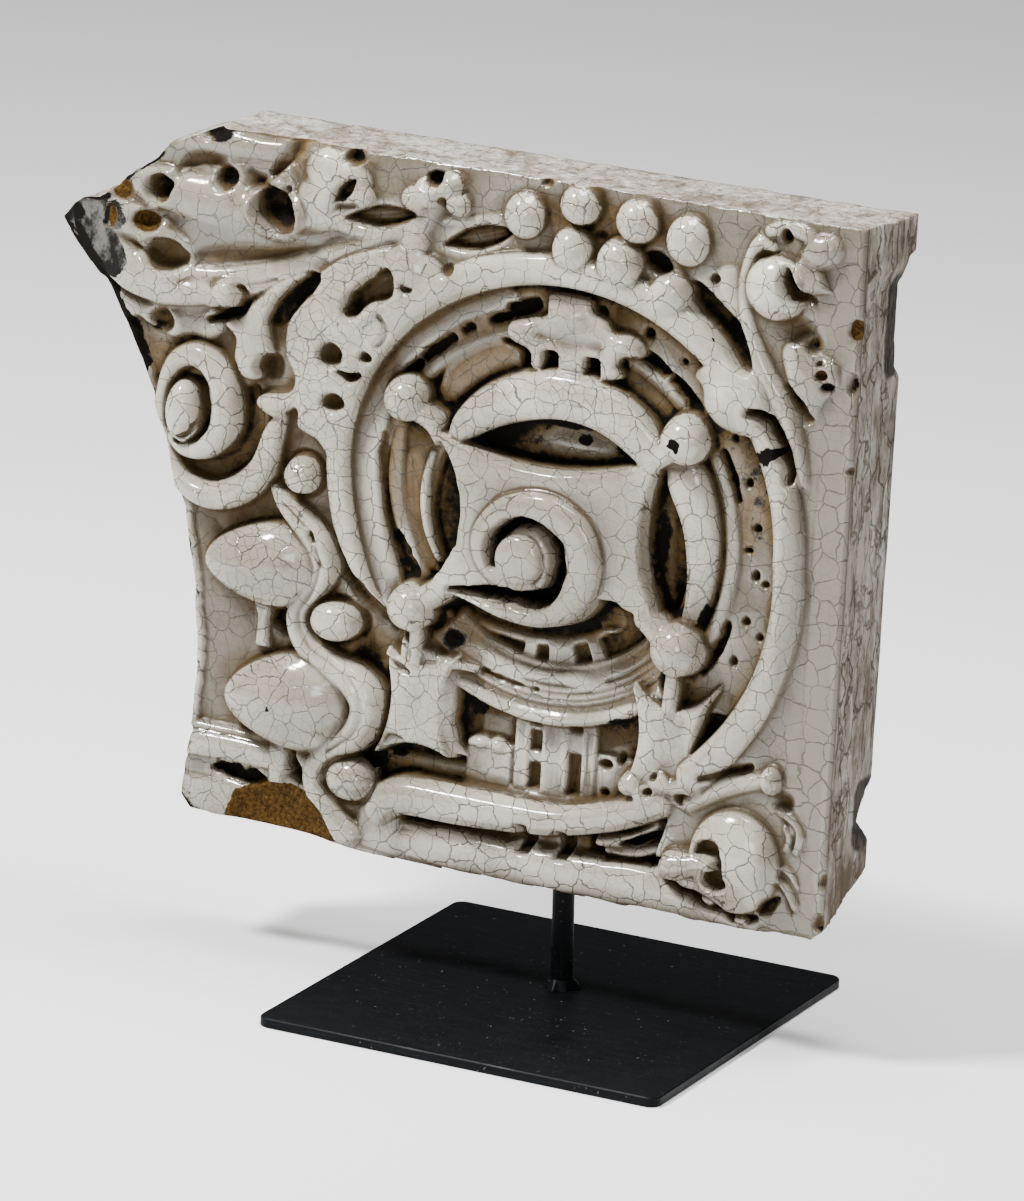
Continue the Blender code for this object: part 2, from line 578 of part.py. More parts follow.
def rod_solid(name, group, radius, reach_in, reach_down=0.0):
    """Round rod from the plate into the panel's underside, leaning slightly to the left."""
    foot = Vector((ROD_FOOT[0], ROD_FOOT[1], PLATE_THICKNESS + GAP + 2.0)) * MM
    top = Vector((ROD_FOOT[0] + ROD_TOP_OFFSET, ROD_FOOT[1],
                  PLATE_THICKNESS + PANEL_RISE)) * MM
    way = (top - foot).normalized()
    start = foot if not reach_down else top - way * reach_down * MM
    end = top + way * reach_in * MM
    mesh = bpy.data.meshes.new(name)
    work = bmesh.new()
    bmesh.ops.create_cone(work, cap_ends=True, segments=24, radius1=radius * MM,
                          radius2=radius * MM, depth=(end - start).length)
    work.to_mesh(mesh)
    work.free()
    thing = bpy.data.objects.new(name, mesh)
    thing.matrix_world = (Matrix.Translation((start + end) / 2.0)
                          @ way.to_track_quat("Z", "Y").to_matrix().to_4x4())
    group.objects.link(thing)
    return thing


def make_rod(group, material):
    """Mild steel rod, with the uneven weld round its foot standing just clear of the plate."""
    rod = rod_solid("steel_rod", group, ROD_RADIUS, ROD_SOCKET_DEPTH)
    rod.data.materials.append(material)
    welds = make_collection("weld_shapes", hidden=True)
    mesh = bpy.data.meshes.new("weld")
    work = bmesh.new()
    bmesh.ops.create_cone(work, cap_ends=True, segments=18, radius1=(ROD_RADIUS + WELD_REACH) * MM,
                          radius2=(ROD_RADIUS + 0.6) * MM, depth=WELD_HEIGHT * MM)
    for corner in work.verts:
        angle = math.atan2(corner.co.y, corner.co.x)
        swell = 1.0 + 0.12 * math.sin(3.0 * angle) + 0.10 * math.sin(7.0 * angle + 1.0)
        if corner.co.z < 0.0:
            corner.co.x *= swell
            corner.co.y *= swell
    work.to_mesh(mesh)
    work.free()
    height = PLATE_THICKNESS + GAP + WELD_HEIGHT / 2.0
    weld = add_mesh("weld", mesh, welds, Vector((ROD_FOOT[0], ROD_FOOT[1], height)) * MM)
    mark_guide(weld)
    join_shapes(rod, welds, "UNION")
    return rod


def make_plate(group, material):
    """Flat steel base plate with small round corners and eased edges."""
    mesh = bpy.data.meshes.new("base_plate")
    work = bmesh.new()
    bmesh.ops.create_cube(work, size=1.0)
    size = Matrix.Diagonal((PLATE_WIDTH * MM, PLATE_DEPTH * MM, PLATE_THICKNESS * MM, 1))
    rise = Matrix.Translation((0, 0, PLATE_THICKNESS * MM / 2.0))
    bmesh.ops.transform(work, matrix=rise @ size, verts=work.verts)
    upright = [e for e in work.edges if abs(e.verts[0].co.z - e.verts[1].co.z) > MM]
    bmesh.ops.bevel(work, geom=upright, offset=PLATE_CORNER * MM, segments=6, profile=0.5,
                    affect="EDGES")
    rims = [e for e in work.edges if abs(e.verts[0].co.z - e.verts[1].co.z) < 0.1 * MM
            and len(e.link_faces) == 2 and e.calc_face_angle(0.0) > 1.0]
    bmesh.ops.bevel(work, geom=rims, offset=0.7 * MM, segments=1, affect="EDGES")
    work.to_mesh(mesh)
    work.free()
    return add_mesh("base_plate", mesh, group, Vector((0, 0, 0)), material)


def main():
    clear_scene()
    parts = make_collection("facade_panel_on_stand")
    panel_cutters = make_collection("panel_cutters", hidden=True)
    terracotta = make_material("glazed_terracotta", (0.74, 0.71, 0.64), 0.22)
    steel = make_material("blackened_steel", (0.035, 0.037, 0.042), 0.38, 0.6)
    make_panel(parts, panel_cutters, terracotta)
    make_rod(parts, steel)
    make_plate(parts, steel.copy())


main()
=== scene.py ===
"""Glazed terracotta facade panel on its steel stand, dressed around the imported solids.

The panel's carved face is one closed mesh worked out with numpy. Its sizes are in millimetres in
the panel's own frame: x runs along the face from the right-hand edge (0) to the broken left end
(negative), y runs back from the ground plane (0), and z runs up from the underside (0).
"""

import math

import bpy
import numpy as np
from mathutils import Matrix, Vector


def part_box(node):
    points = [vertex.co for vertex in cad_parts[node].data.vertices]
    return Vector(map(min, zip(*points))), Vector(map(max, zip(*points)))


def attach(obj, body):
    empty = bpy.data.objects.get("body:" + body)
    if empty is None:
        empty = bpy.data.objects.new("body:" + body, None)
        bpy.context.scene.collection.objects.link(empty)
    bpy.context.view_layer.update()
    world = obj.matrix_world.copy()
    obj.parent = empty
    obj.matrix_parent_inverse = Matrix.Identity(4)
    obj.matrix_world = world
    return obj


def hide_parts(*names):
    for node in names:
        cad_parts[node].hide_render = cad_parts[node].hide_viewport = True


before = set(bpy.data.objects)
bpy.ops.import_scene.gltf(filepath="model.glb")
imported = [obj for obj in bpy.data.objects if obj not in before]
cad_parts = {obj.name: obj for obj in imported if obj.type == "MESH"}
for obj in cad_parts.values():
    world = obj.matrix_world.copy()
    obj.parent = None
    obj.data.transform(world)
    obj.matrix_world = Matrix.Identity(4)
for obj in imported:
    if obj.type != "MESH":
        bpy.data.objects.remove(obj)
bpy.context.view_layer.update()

bl_info = {
    "name": "Terracotta facade panel",
    "version": (1, 0, 0),
    "blender": (4, 5, 0),
    "location": "3D View > Sidebar > Facade panel",
    "description": "Builds a carved, glazed terracotta panel on a steel stand",
    "category": "Add Mesh",
}

MM = 0.001
# sizes of the panel and depths of its carved levels, in millimetres; WALL is the slope of the sides
PANEL_HEIGHT = 450
PANEL_DEPTH = 61
PANEL_WIDTH = 540
THINNEST = 5
HUB = (-195, 235)
WALL = 6
FIELD = 6
SHELF = 9
DISH = 14
DEEP = 19

# the panel's own origin in the shared frame, in metres
ORIGIN = Vector((0.1816, -0.0115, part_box("terracotta_panel")[0].z))


# ---------------------------------------------------------------- curves and fields

def smooth(t):
    """Smooth step: 0 below 0, 1 above 1, and 3t^2 - 2t^3 between."""
    t = np.clip(t, 0, 1)
    return t * t * (3 - 2 * t)


def blend_min(a, b, reach):
    """The lesser of a and b, with the crease between them filled where they differ by under reach."""
    near = np.clip(1 - np.abs(a - b) / reach, 0, 1)
    return np.minimum(a, b) - near * near * reach / 4


def through(knots, step=2.5, closed=False):
    """Catmull-Rom curve through the knots, whatever values each knot carries, as an array."""
    knots = np.array(knots, float)
    if closed:
        ends = np.vstack([knots[-1:], knots, knots[:2]])
    else:
        ends = np.vstack([knots[:1], knots, knots[-1:]])
    parts = []
    for k in range(len(ends) - 3):
        a, b, c, d = ends[k:k + 4]
        count = max(2, int(np.hypot(*(c - b)[:2]) / step) + 1)
        t = np.linspace(0, 1, count, endpoint=False)[:, None]
        parts.append(0.5 * (2 * b + (c - a) * t + (2 * a - 5 * b + 4 * c - d) * t**2
                            + (3 * b - a - 3 * c + d) * t**3))
    parts.append(knots[:1] if closed else knots[-1:])
    return np.vstack(parts)


def bowed(start, end, sag, steps=9):
    """Shallow parabola from start to end, bowed by sag to the left of the way it runs."""
    start, end = np.array(start, float), np.array(end, float)
    along = end - start
    side = np.array((-along[1], along[0])) / np.hypot(*along)
    t = np.linspace(0, 1, steps, endpoint=False)[:, None]
    return start + along * t + side * (sag * 4 * t * (1 - t))


def rounded(knots, step=3):
    """Closed smooth outline through the knots."""
    return through(knots, step, True)[:, :2]


def bow_between(start, end, out, back):
    """Closed outline of two shallow bows between the same two points."""
    return np.vstack([bowed(start, end, out), bowed(end, start, back)])


def four_sided(corners, sags):
    """Closed outline of four bowed sides between four corners."""
    return np.vstack([bowed(corners[k], corners[(k + 1) % 4], sags[k]) for k in range(4)])


def lay(field, value):
    """Raise a painted field to the value wherever it is less."""
    np.maximum(field, value, out=field)


def upright(x0, x1, z0, z1):
    """Corners of an upright box."""
    return [(x0, z0), (x1, z0), (x1, z1), (x0, z1)]


def oval_loop(x, z, wide, high, tilt, half):
    """Closed path of (x, z, half width) round an oval turned by tilt degrees."""
    angles = np.radians(np.linspace(0, 360, 19))
    turn = math.radians(tilt)
    loop = np.stack([wide * np.cos(angles), high * np.sin(angles)], 1)
    loop = loop @ np.array([(math.cos(turn), math.sin(turn)), (-math.sin(turn), math.cos(turn))]) + (x, z)
    return np.column_stack([loop, np.full(len(loop), half)])


def ring_radius(degrees):
    """The great ring is round at the top, draws in down its left arm and opens out on its right."""
    degrees = np.asarray(degrees, float)
    left = 160 - 20 * smooth((degrees - 135) / 75)
    right = np.where(degrees < 0, 158.5 - 0.33 * degrees, 158.5 + 1.5 * np.clip(degrees / 45, 0, 1))
    return np.where(degrees > 120, left, right)


def noise(x, z, size, seed):
    """Smooth value noise from -1 to 1: random numbers on a lattice of that size, eased between."""
    table = np.random.default_rng(seed).uniform(-1, 1, (64, 64))
    u, v = x / size + 1000, z / size + 1000
    i, j = np.floor(u).astype(int), np.floor(v).astype(int)
    fu, fv = smooth(u - i), smooth(v - j)
    low = table[i % 64, j % 64] * (1 - fu) + table[(i + 1) % 64, j % 64] * fu
    high = table[i % 64, (j + 1) % 64] * (1 - fu) + table[(i + 1) % 64, (j + 1) % 64] * fu
    return low * (1 - fv) + high * fv


def rough(x, z, size, seed, octaves):
    """Sum of value noises, each half the size and half the strength of the last."""
    return sum(noise(x, z, size / 2**k, seed + k) / 2**k for k in range(octaves))


class Relief:
    """Depth y of the carved face at the points x, z. Each call adds or cuts one form."""

    def __init__(self, x, z):
        self.x, self.z = x.ravel(), z.ravel()
        self.y = np.zeros_like(self.x)
        self.masks = {}

    def near(self, low, high, margin):
        """Numbers of the points inside the box from low to high, widened by the margin."""
        return np.flatnonzero((self.x > low[0] - margin) & (self.x < high[0] + margin) & (self.z > low[1] - margin)
                              & (self.z < high[1] + margin))

    def along(self, path, margin):
        """Nearest place on a path of (x, z, half width, ...) for the points near it.

        Gives the points' numbers, the distance, the path's values there, the side (+1 left of
        the way it runs) and how far along it lies, from 0 to 1. Nearest is by distance less
        half width."""
        reach = path[:, 2].max() + margin
        pick = self.near(path[:, :2].min(0), path[:, :2].max(0), reach)
        x, z = self.x[pick], self.z[pick]
        gap = np.full(x.shape, 1e9)
        distance, side, way = np.zeros_like(x), np.ones_like(x), np.zeros_like(x)
        values = np.zeros((len(x), path.shape[1] - 2))
        count = len(path) - 1
        for k, (a, b) in enumerate(zip(path[:-1], path[1:])):
            run = b[:2] - a[:2]
            t = np.clip(((x - a[0]) * run[0] + (z - a[1]) * run[1]) / (run @ run + 1e-9), 0, 1)
            dx, dz = x - a[0] - t * run[0], z - a[1] - t * run[1]
            d = np.hypot(dx, dz)
            here = a[2:] + t[:, None] * (b[2:] - a[2:])
            closer = d - here[:, 0] < gap
            gap = np.where(closer, d - here[:, 0], gap)
            distance = np.where(closer, d, distance)
            values = np.where(closer[:, None], here, values)
            side = np.where(closer, np.sign(run[0] * dz - run[1] * dx), side)
            way = np.where(closer, (k + t) / count, way)
        return pick, distance, values, side, way

    def inside(self, outline, margin):
        """Distance into a closed outline, positive inside, for the points near it."""
        outline = np.asarray(outline, float)
        pick = self.near(outline.min(0), outline.max(0), margin)
        x, z = self.x[pick], self.z[pick]
        best = np.full(x.shape, 1e9)
        within = np.zeros(x.shape, bool)
        for a, b in zip(outline, np.roll(outline, -1, 0)):
            run = b - a
            t = np.clip(((x - a[0]) * run[0] + (z - a[1]) * run[1]) / (run @ run + 1e-9), 0, 1)
            best = np.minimum(best, np.hypot(x - a[0] - t * run[0], z - a[1] - t * run[1]))
            crosses = (a[1] > z) != (b[1] > z)
            if a[1] != b[1]:
                within ^= crosses & (x < a[0] + (z - a[1]) * run[0] / run[1])
        return pick, np.where(within, best, -best)

    def oval(self, x, z, wide, high, tilt, margin, taper=0):
        """Points near an oval turned by tilt degrees: their numbers, radius (1 at the rim) and
        distance in from the rim. Taper narrows the left end and widens the right."""
        pick = self.near((x - max(wide, high), z - max(wide, high)),
                         (x + max(wide, high), z + max(wide, high)), margin)
        turn = math.radians(tilt)
        dx, dz = self.x[pick] - x, self.z[pick] - z
        u = dx * math.cos(turn) + dz * math.sin(turn)
        v = -dx * math.sin(turn) + dz * math.cos(turn)
        radius = np.hypot(u / wide, v / (high * (1 + taper * np.clip(u / wide, -1, 1)))) + 1e-6
        return pick, radius, (1 - radius) * np.hypot(u, v) / radius

    def raise_to(self, pick, y, reach):
        """Bring the face forward to y wherever it lies behind, blended where the two are near."""
        self.y[pick] = blend_min(self.y[pick], y, reach)

    def sink_to(self, pick, floor, share):
        """Cut towards the floor by the share from 0 to 1, never filling what is lower already."""
        self.y[pick] += np.maximum(floor - self.y[pick], 0) * share

    # ------------------------------------------------------------ forms

    def band(self, knots, middle, flatten=1, power=2, reach=1):
        """Moulding along (x, z, half width): a rounded section that stands out from y = middle.

        The section is (1 - t^power)^(1/power) of the half width, t being the share of it from the
        middle line, and falls away steeply past t = 0.95."""
        path = knots if isinstance(knots, np.ndarray) else through(knots)
        pick, distance, values, _, _ = self.along(path, 3)
        half = np.maximum(values[:, 0], 0.6)
        t = np.clip(distance / half, 0, 0.95)
        across = (1 - t**power)**(1 / power)
        fall = WALL * np.maximum(distance - 0.95 * half, 0)
        self.raise_to(pick, middle - flatten * half * across + fall, reach)

    def ball(self, x, z, wide, high, deep, middle, tilt=0, reach=0.8, power=2, taper=0):
        """Ball or egg: half sizes wide, high and deep about y = middle; taper narrows its left end."""
        pick, radius, into = self.oval(x, z, wide, high, tilt, 3, taper)
        dome = (1 - np.clip(radius, 0, 0.95)**power)**(1 / power)
        past = np.maximum(0.05 * min(wide, high) - into, 0)
        self.raise_to(pick, middle - deep * dome + WALL * past, reach)

    def plate(self, outline, front, edge, crown=0, lean=(0, 0), reach=1.5):
        """Flat piece at y = front with quarter-round edges, bulged by crown, leaning by lean."""
        pick, into = self.inside(outline, 4)
        s = np.clip(into, 0, edge)
        y = front + edge - np.sqrt(np.maximum(edge**2 - (edge - s)**2, 0))
        y = y + WALL * np.maximum(-into, 0) - crown * smooth(into / 25)
        middle = np.asarray(outline, float).mean(0)
        y = y + lean[0] * (self.x[pick] - middle[0]) + lean[1] * (self.z[pick] - middle[1])
        self.raise_to(pick, y, reach)

    def pocket(self, x0, x1, z0, z1, floor):
        """Square-cornered recess between x0 and x1, z0 and z1."""
        self.sink(upright(x0, x1, z0, z1), floor, 1.5)

    def sink(self, outline, floor, wall, sharp=False):
        """Cut down to the floor inside the outline, over a wall of that width; a sharp one starts
        at a crisp edge and slopes evenly."""
        pick, into = self.inside(outline, 1)
        into = into + 0.5 * rough(self.x[pick], self.z[pick], 7, 62, 3)
        self.sink_to(pick, floor, np.clip(into / wall, 0, 1) if sharp else smooth(into / wall + 0.5))

    def hole(self, x, z, wide, high, floor, tilt=0, wall=0):
        """Eye with an oval rim: a round-bottomed bowl, or a straight-sided one over a wall."""
        pick, radius, into = self.oval(x, z, wide, high, tilt, 2)
        bowl = np.clip(1.08 - radius**2, 0, 1)**0.6
        self.sink_to(pick, floor, smooth(into / wall + 0.4) if wall else bowl)

    def slot(self, x, z, length, width, tilt, floor, wall=3):
        """Pointed oval cut, as long as length along its tilt in degrees."""
        turn = math.radians(tilt)
        way = np.array((math.cos(turn), math.sin(turn))) * length / 2
        a, b = np.array((x, z)) - way, np.array((x, z)) + way
        self.sink(bow_between(a, b, width / 2, width / 2), floor, wall)

    def cut(self, knots, floor, wall=2.5):
        """Channel along (x, z, half width) cut down to the floor."""
        pick, distance, values, _, _ = self.along(through(knots), 2)
        ragged = 0.9 * rough(self.x[pick], self.z[pick], 7, 61, 3)
        self.sink_to(pick, floor, smooth((values[:, 0] + ragged - distance) / wall + 0.4))

    def groove(self, knots, deep):
        """Soft groove along (x, z, half width), deep below whatever it crosses; a ridge if less
        than 0."""
        pick, distance, values, _, _ = self.along(through(knots), 1)
        t = np.clip(distance / np.maximum(values[:, 0], 0.5), 0, 1)
        self.y[pick] += deep * (1 - t * t)**2

    def swell(self, x, z, wide, high, rise, tilt=0):
        """Soft rise (or hollow if less than 0) over an oval."""
        pick, radius, _ = self.oval(x, z, wide, high, tilt, 1)
        self.y[pick] -= rise * (1 - np.clip(radius, 0, 1)**2)**2

    def turned(self, profile, start, end, centre):
        """Profile of (radius, y) swept about the centre between two angles in degrees."""
        radii, depths = np.array(profile, float)[:, 0], np.array(profile, float)[:, 1]
        dx, dz = self.x - centre[0], self.z - centre[1]
        radius = np.hypot(dx, dz)
        angle = np.degrees(np.arctan2(dz, dx))
        angle = np.where(angle < start - 40, angle + 360, angle)
        pick = np.flatnonzero((radius > radii.min()) & (radius < radii.max()) & (angle > start) & (angle < end))
        order = np.argsort(radii)
        y = np.interp(radius[pick], radii[order], depths[order])
        ends = np.minimum(angle[pick] - start, end - angle[pick]) * radius[pick] * math.pi / 180
        plain = np.interp(radius[pick], [radii.min(), radii.max() - 8], [14, 6])
        y = plain + (y - plain) * smooth(ends / 22 + 0.15)
        self.raise_to(pick, y + 1.6 * np.maximum(6 - ends, 0), 1)

    # ------------------------------------------------------------ painted masks

    def mask(self, name):
        """Painted field of that name, 0 all over at its first use."""
        return self.masks.setdefault(name, np.zeros_like(self.x))

    def spot(self, name, x, z, wide, high, tilt=0, strength=1):
        """Patch that fades from the strength at its middle to 0 at twice its rim."""
        pick, radius, _ = self.oval(x, z, wide, high, tilt, max(wide, high))
        field = self.mask(name)
        field[pick] = np.maximum(field[pick], strength * np.clip(1 - radius / 2, 0, 1))


# ---------------------------------------------------------------- the carved face, region by region

def carve_ground(r):
    """Ground plane, the hollow field at the left, the dish inside the ring and below it."""
    r.y += 0.5 * noise(r.x, r.z, 45, 3) + 0.25 * noise(r.x, r.z, 16, 4)
    field = [(-322, 62), (-304, 84), (-300, 150), (-316, 180), (-334, 206), (-344, 236), (-346, 262), (-380, 330),
             (-540, 345), (-540, 66), (-350, 66)]
    r.sink(field, FIELD, 3)
    r.sink([(-330, 58), (-296, 58), (-296, 160), (-322, 176), (-330, 120)], 13, 8)
    angles = np.linspace(-54, 222, 70)
    r.sink(around(ring_radius(angles) - 6, angles), SHELF, 3)
    r.sink(around(np.full(70, 117), angles, step_back(DISH)), DISH, 3)
    lower = [(-312, 28), (-118, 27), (-108, 62), (-88, 100), (-74, 130), (-300, 130), (-309, 120), (-304, 76)]
    r.sink(lower, 19, 3)
    r.sink(around(np.full(30, 92), np.linspace(208, 334, 30), step_back(DEEP)), DEEP + 2, 3)


def step_back(y):
    """Centre of a ring at depth y: the deeper it lies, the further left and lower it is set."""
    return HUB[0] - 0.46 * y, HUB[1] - 0.28 * y


def swept(knots, y):
    """Smooth path of (x, z, half width) from knots of (angle, radius, half width) at depth y."""
    knots = through(knots, 2.5)
    return np.column_stack([around(knots[:, 1], knots[:, 0], step_back(y)), knots[:, 2]])


def carve_rings(r):
    """The great ring and the lesser rings inside it, each lower than the last."""
    angles = np.linspace(-54, 216, 120)
    half = (11 - 2.5 * smooth((angles - 135) / 40)) * np.clip(0.4 + (216 - angles) / 45, 0, 1)
    r.band(np.column_stack([around(ring_radius(angles), angles), half]), 2, power=2.3)
    # second ring, a broad hollow band at the left that thins over the top, then the rings inside it
    r.band(swept([(214, 124, 9.5), (200, 127.5, 12.5), (185, 131, 13.5), (170, 133.5, 13), (158, 136.5, 11),
                  (148, 139.5, 9), (138, 141, 7.5), (106, 142, 6.5)], 5), 9, 0.45, power=3.4)
    r.band(swept([(138, 121.5, 4.5), (120, 121.5, 4.5), (106, 121.5, 4)], 9), 12, power=2.4)
    r.band(swept([(70, 120.5, 4), (45, 120.5, 4.2)], 9), 12, power=2.4)
    r.band(swept([(31, 120.5, 4.5), (0, 121, 5.5), (-27, 121.5, 4.5)], 7), 11, power=2.6)
    r.band(swept([(209, 99, 4), (195, 102.5, 5.5), (180, 108, 6), (165, 113.5, 5), (157, 117, 3)], 9),
           12.5, 0.7, power=2.6)
    r.band(swept([(206, 92.5, 3), (190, 97.5, 4), (176, 101, 3.5), (165, 104, 2.5)], 13), 15, 0.8, power=2.2)
    r.band(swept([(140, 104, 5), (133, 106, 9), (120, 107.5, 10), (107, 107.5, 9.5)], 11), 14.5, 0.55, power=2.6)
    r.band(swept([(70, 107, 9), (58, 107, 9.5), (44, 106, 8)], 11), 14.5, 0.5, power=2.6)
    # dark cuts in the grooves between the rings
    for start, a, half, middle, end, b, floor in (
            (206.5, 104, 4.5, 200, 193.5, 109, 18), (187, 111.5, 2, 174, 161, 123.5, 10.5),
            (144, 130.5, 3, 141, 138.5, 130.5, 19), (136, 130.5, 3.6, 130, 125.5, 130, 16),
            (121, 131, 2.6, 119.5, 118.5, 131, 14), (112, 131, 3, 109, 107, 131, 18),
            (105, 134.5, 5, 101.5, 98.5, 137, 17), (67.5, 127.5, 4.2, 62, 57.5, 127.5, 20),
            (54, 127.5, 4, 48, 43.5, 127, 20), (30, 128, 2.4, 25, 16, 127.5, 17),
            (-10, 113.5, 2.6, -18, -27, 112, 19), (-20, 128.5, 2.6, -28, -36, 131, 18)):
        r.cut(swept([(start, a, half * 0.85), (middle, (a + b) / 2, half), (end, b, half * 0.85)], 9), floor, 1.4)
    # pits in the worn shelf between the rings on the right
    for angle, radius, wide, high in (
            (80, 139, 3.5, 4.5), (66.5, 141, 3.6, 3.6), (55, 141, 2, 2), (32, 138, 2.2, 2.4), (20, 136.5, 2.6, 3.2),
            (8, 137, 2.8, 2.8), (-4.5, 137, 2.6, 3.6), (-6, 144, 2.4, 2), (-17, 138, 2.6, 2.8),
            (-19, 150, 2.2, 2.2), (-28, 142, 2.4, 3.2), (2, 131, 3, 1.6)):
        (x, z), = around(radius, np.array([angle]), step_back(8))
        r.hole(x, z, wide, high, 16)


def around(radius, degrees, centre=HUB):
    """Points at the radii and angles (in degrees, up from the right) about the centre."""
    turn = np.radians(degrees)
    return np.stack([centre[0] + radius * np.cos(turn), centre[1] + radius * np.sin(turn)], 1)


def carve_bowl(r):
    """Shallow turned bowl under the star: fine ridges inside a broad lip, and a thin ring in it."""
    profile = [(131, 30), (129, 11), (128, 6.5), (125.5, 4), (121.5, 4.4), (119, 7.4), (117, 7.8), (115.8, 10),
               (113.8, 7), (111.8, 9.6), (109.8, 7.4), (107.6, 10.6), (105.4, 8.4), (103, 11.8), (100.5, 9.2),
               (97, 11.4), (93.5, 13), (91.5, 12.4), (90, 15), (88, 30)]
    r.turned(profile, 225, 322, step_back(8))
    r.hole(-112.5, 146, 8, 9, 22, 20, 3)
    r.cut(swept([(267, 107.5, 0.8), (256, 108.5, 1.5), (247, 109.5, 0.8)], 9), 13.5, 1.5)
    r.band(swept([(306, 73.5, 2.5), (290, 74.5, 3.2), (270, 75.5, 3.2), (250, 79.5, 3.2), (236, 85.5, 3),
                  (228, 88.5, 2)], 17), 19, power=2.2)
    for angle, wide in ((295.5, 3.4), (278.5, 6.4), (263.5, 3.2)):
        corners = around(np.array([75, 75, 90, 90]), angle + np.array([-1, 1, 1, -1]) * wide, step_back(19))
        r.plate(corners, 14.5, 2)
    r.ball(-160, 176, 8.5, 8, 8, 15)


def carve_star(r):
    """Four-pointed plate with hollow sides and a ball at each point, and its scroll."""
    bevel = bow_between((-263, 280), (-139, 283), 20, 15)
    lens = bow_between((-258, 282), (-143, 284), 18, 5)
    r.plate(four_sided(((-286, 287), (-121, 290), (-118, 184), (-280, 176)), (-20.5, -15, -14, -19)), -6, 2, 0.8)
    # space left open between the scroll and the star's lower edge
    r.sink([(-190, 183), (-166, 192), (-150, 193), (-128, 180), (-140, 172), (-175, 168)], DEEP, 2.5)
    # openings left and right of the star; the right-hand one slopes back from its edge
    r.sink(bow_between((-273, 276), (-276, 186), -10, -17), DEEP + 2, 2)
    r.sink(bow_between((-123, 290), (-119, 182), -15, -20), DEEP, 13, True)
    r.sink(bow_between((-121, 284), (-116, 188), -3, -9), DEEP + 3, 3)
    r.band(swept([(205, 85.5, 2), (190, 88, 3.2), (176, 89.5, 3.2), (160, 90.5, 2.4)], 10), 12)
    r.band(swept([(34, 100, 9), (25, 97, 15), (10, 98.5, 13.5), (-5, 100.5, 11.5), (-20, 103.5, 8.5),
                  (-33, 106, 5)], 3), 9, 0.8, power=2.3)
    crescent = swept([(151, 84.5, 4), (143, 84, 9), (130, 82, 12.5), (110, 79.5, 14.8), (90, 79.5, 15.5),
                      (70, 80, 15), (55, 80, 14), (42, 80, 12)], -7)
    r.sink(bevel, 8, 9, True)
    r.sink(lens, 13, 2)
    r.swell(-184, 284, 28, 9, 3.5)
    r.band(crescent, 0.5, 0.62, power=2.3)
    for x, z, radius in ((-299, 298, 14.5), (-110, 302, 15.5), (-289, 166, 15), (-107, 170, 17)):
        way = np.array((HUB[0] - x, HUB[1] - z))
        way = way / np.hypot(*way) * radius
        neck = [(x, z, radius * 0.66), (x + way[0], z + way[1], radius * 0.50),
                (x + way[0] * 1.6, z + way[1] * 1.6, radius * 0.46)]
        r.band(neck, -1, 0.9, reach=2)
        r.ball(x, z, radius, radius, radius, 0)
    scroll = [(-262, 182, 1.5), (-247, 181, 3), (-222, 177, 6), (-197, 179, 9), (-177, 190, 11),
              (-168, 212, 11.5), (-175, 234, 11.5), (-197, 245, 11), (-222, 240, 10.5), (-237, 222, 9.5),
              (-234, 205, 8), (-223, 196, 6)]
    r.groove([(k[0], k[1], k[2] + 3.5) for k in scroll[3:]], 2.6)
    r.band(scroll, -6, 0.85, power=2.6, reach=0.3)
    gap = [(-216, 185, 2), (-200, 186, 4.5), (-190, 196, 5.2), (-188.5, 214, 4.8), (-195, 229.5, 4),
           (-209, 235, 3.6), (-222, 231, 3.6), (-230.5, 219, 4), (-230.5, 207, 3.4)]
    r.cut(gap, 13, 2.5)
    r.cut([(-262, 183, 1), (-240, 184.5, 3.5), (-216, 186.5, 4.5), (-204, 187, 4)], 16)
    r.ball(-213, 211, 16.5, 16.5, 7, -8, power=3)
    r.band([(-226, 200, 2), (-216, 194, 3), (-204, 195, 2)], -8)
    for z, high in ((231, 3.5), (214, 4.5)):
        r.hole(-262.5, z, 4, high, 10)


def carve_upper_dish(r):
    """What shows inside the ring above the star: recessed petal, bracket leaf and dark holes."""
    r.band(swept([(136, 110, 2.2), (131, 115, 2.6), (122, 117, 2.6), (110, 117, 2.4)], 11), 12, 1.3)
    r.cut(swept([(109, 117, 1), (104, 110, 2.2), (103, 99, 3)], 12), 20, 2)
    r.cut(swept([(69, 118, 1.5), (68, 111, 2.6), (70, 101, 2)], 12), 18, 2)
    outline = rounded([(-207, 378), (-182, 378.5), (-178, 371), (-169, 366), (-163, 360), (-152, 359.5),
                       (-144, 354), (-146, 347), (-156, 346), (-160, 340), (-157, 333), (-172, 329), (-214, 329),
                       (-219, 340), (-233, 346), (-234, 355), (-221, 360.5), (-208, 365)])
    r.plate(outline, 0, 4, 2, reach=0.8)
    r.swell(-197, 366, 18, 11, 4)
    r.swell(-156, 353, 13, 9, 3.5)
    r.swell(-222, 352, 12, 9, 2.5)
    r.groove([(-212, 352, 5), (-196, 350, 7), (-172, 350, 6)], 2.5)
    r.pocket(-209, -199.5, 330.5, 342, 17)
    r.pocket(-180.5, -171, 330, 342.5, 17)


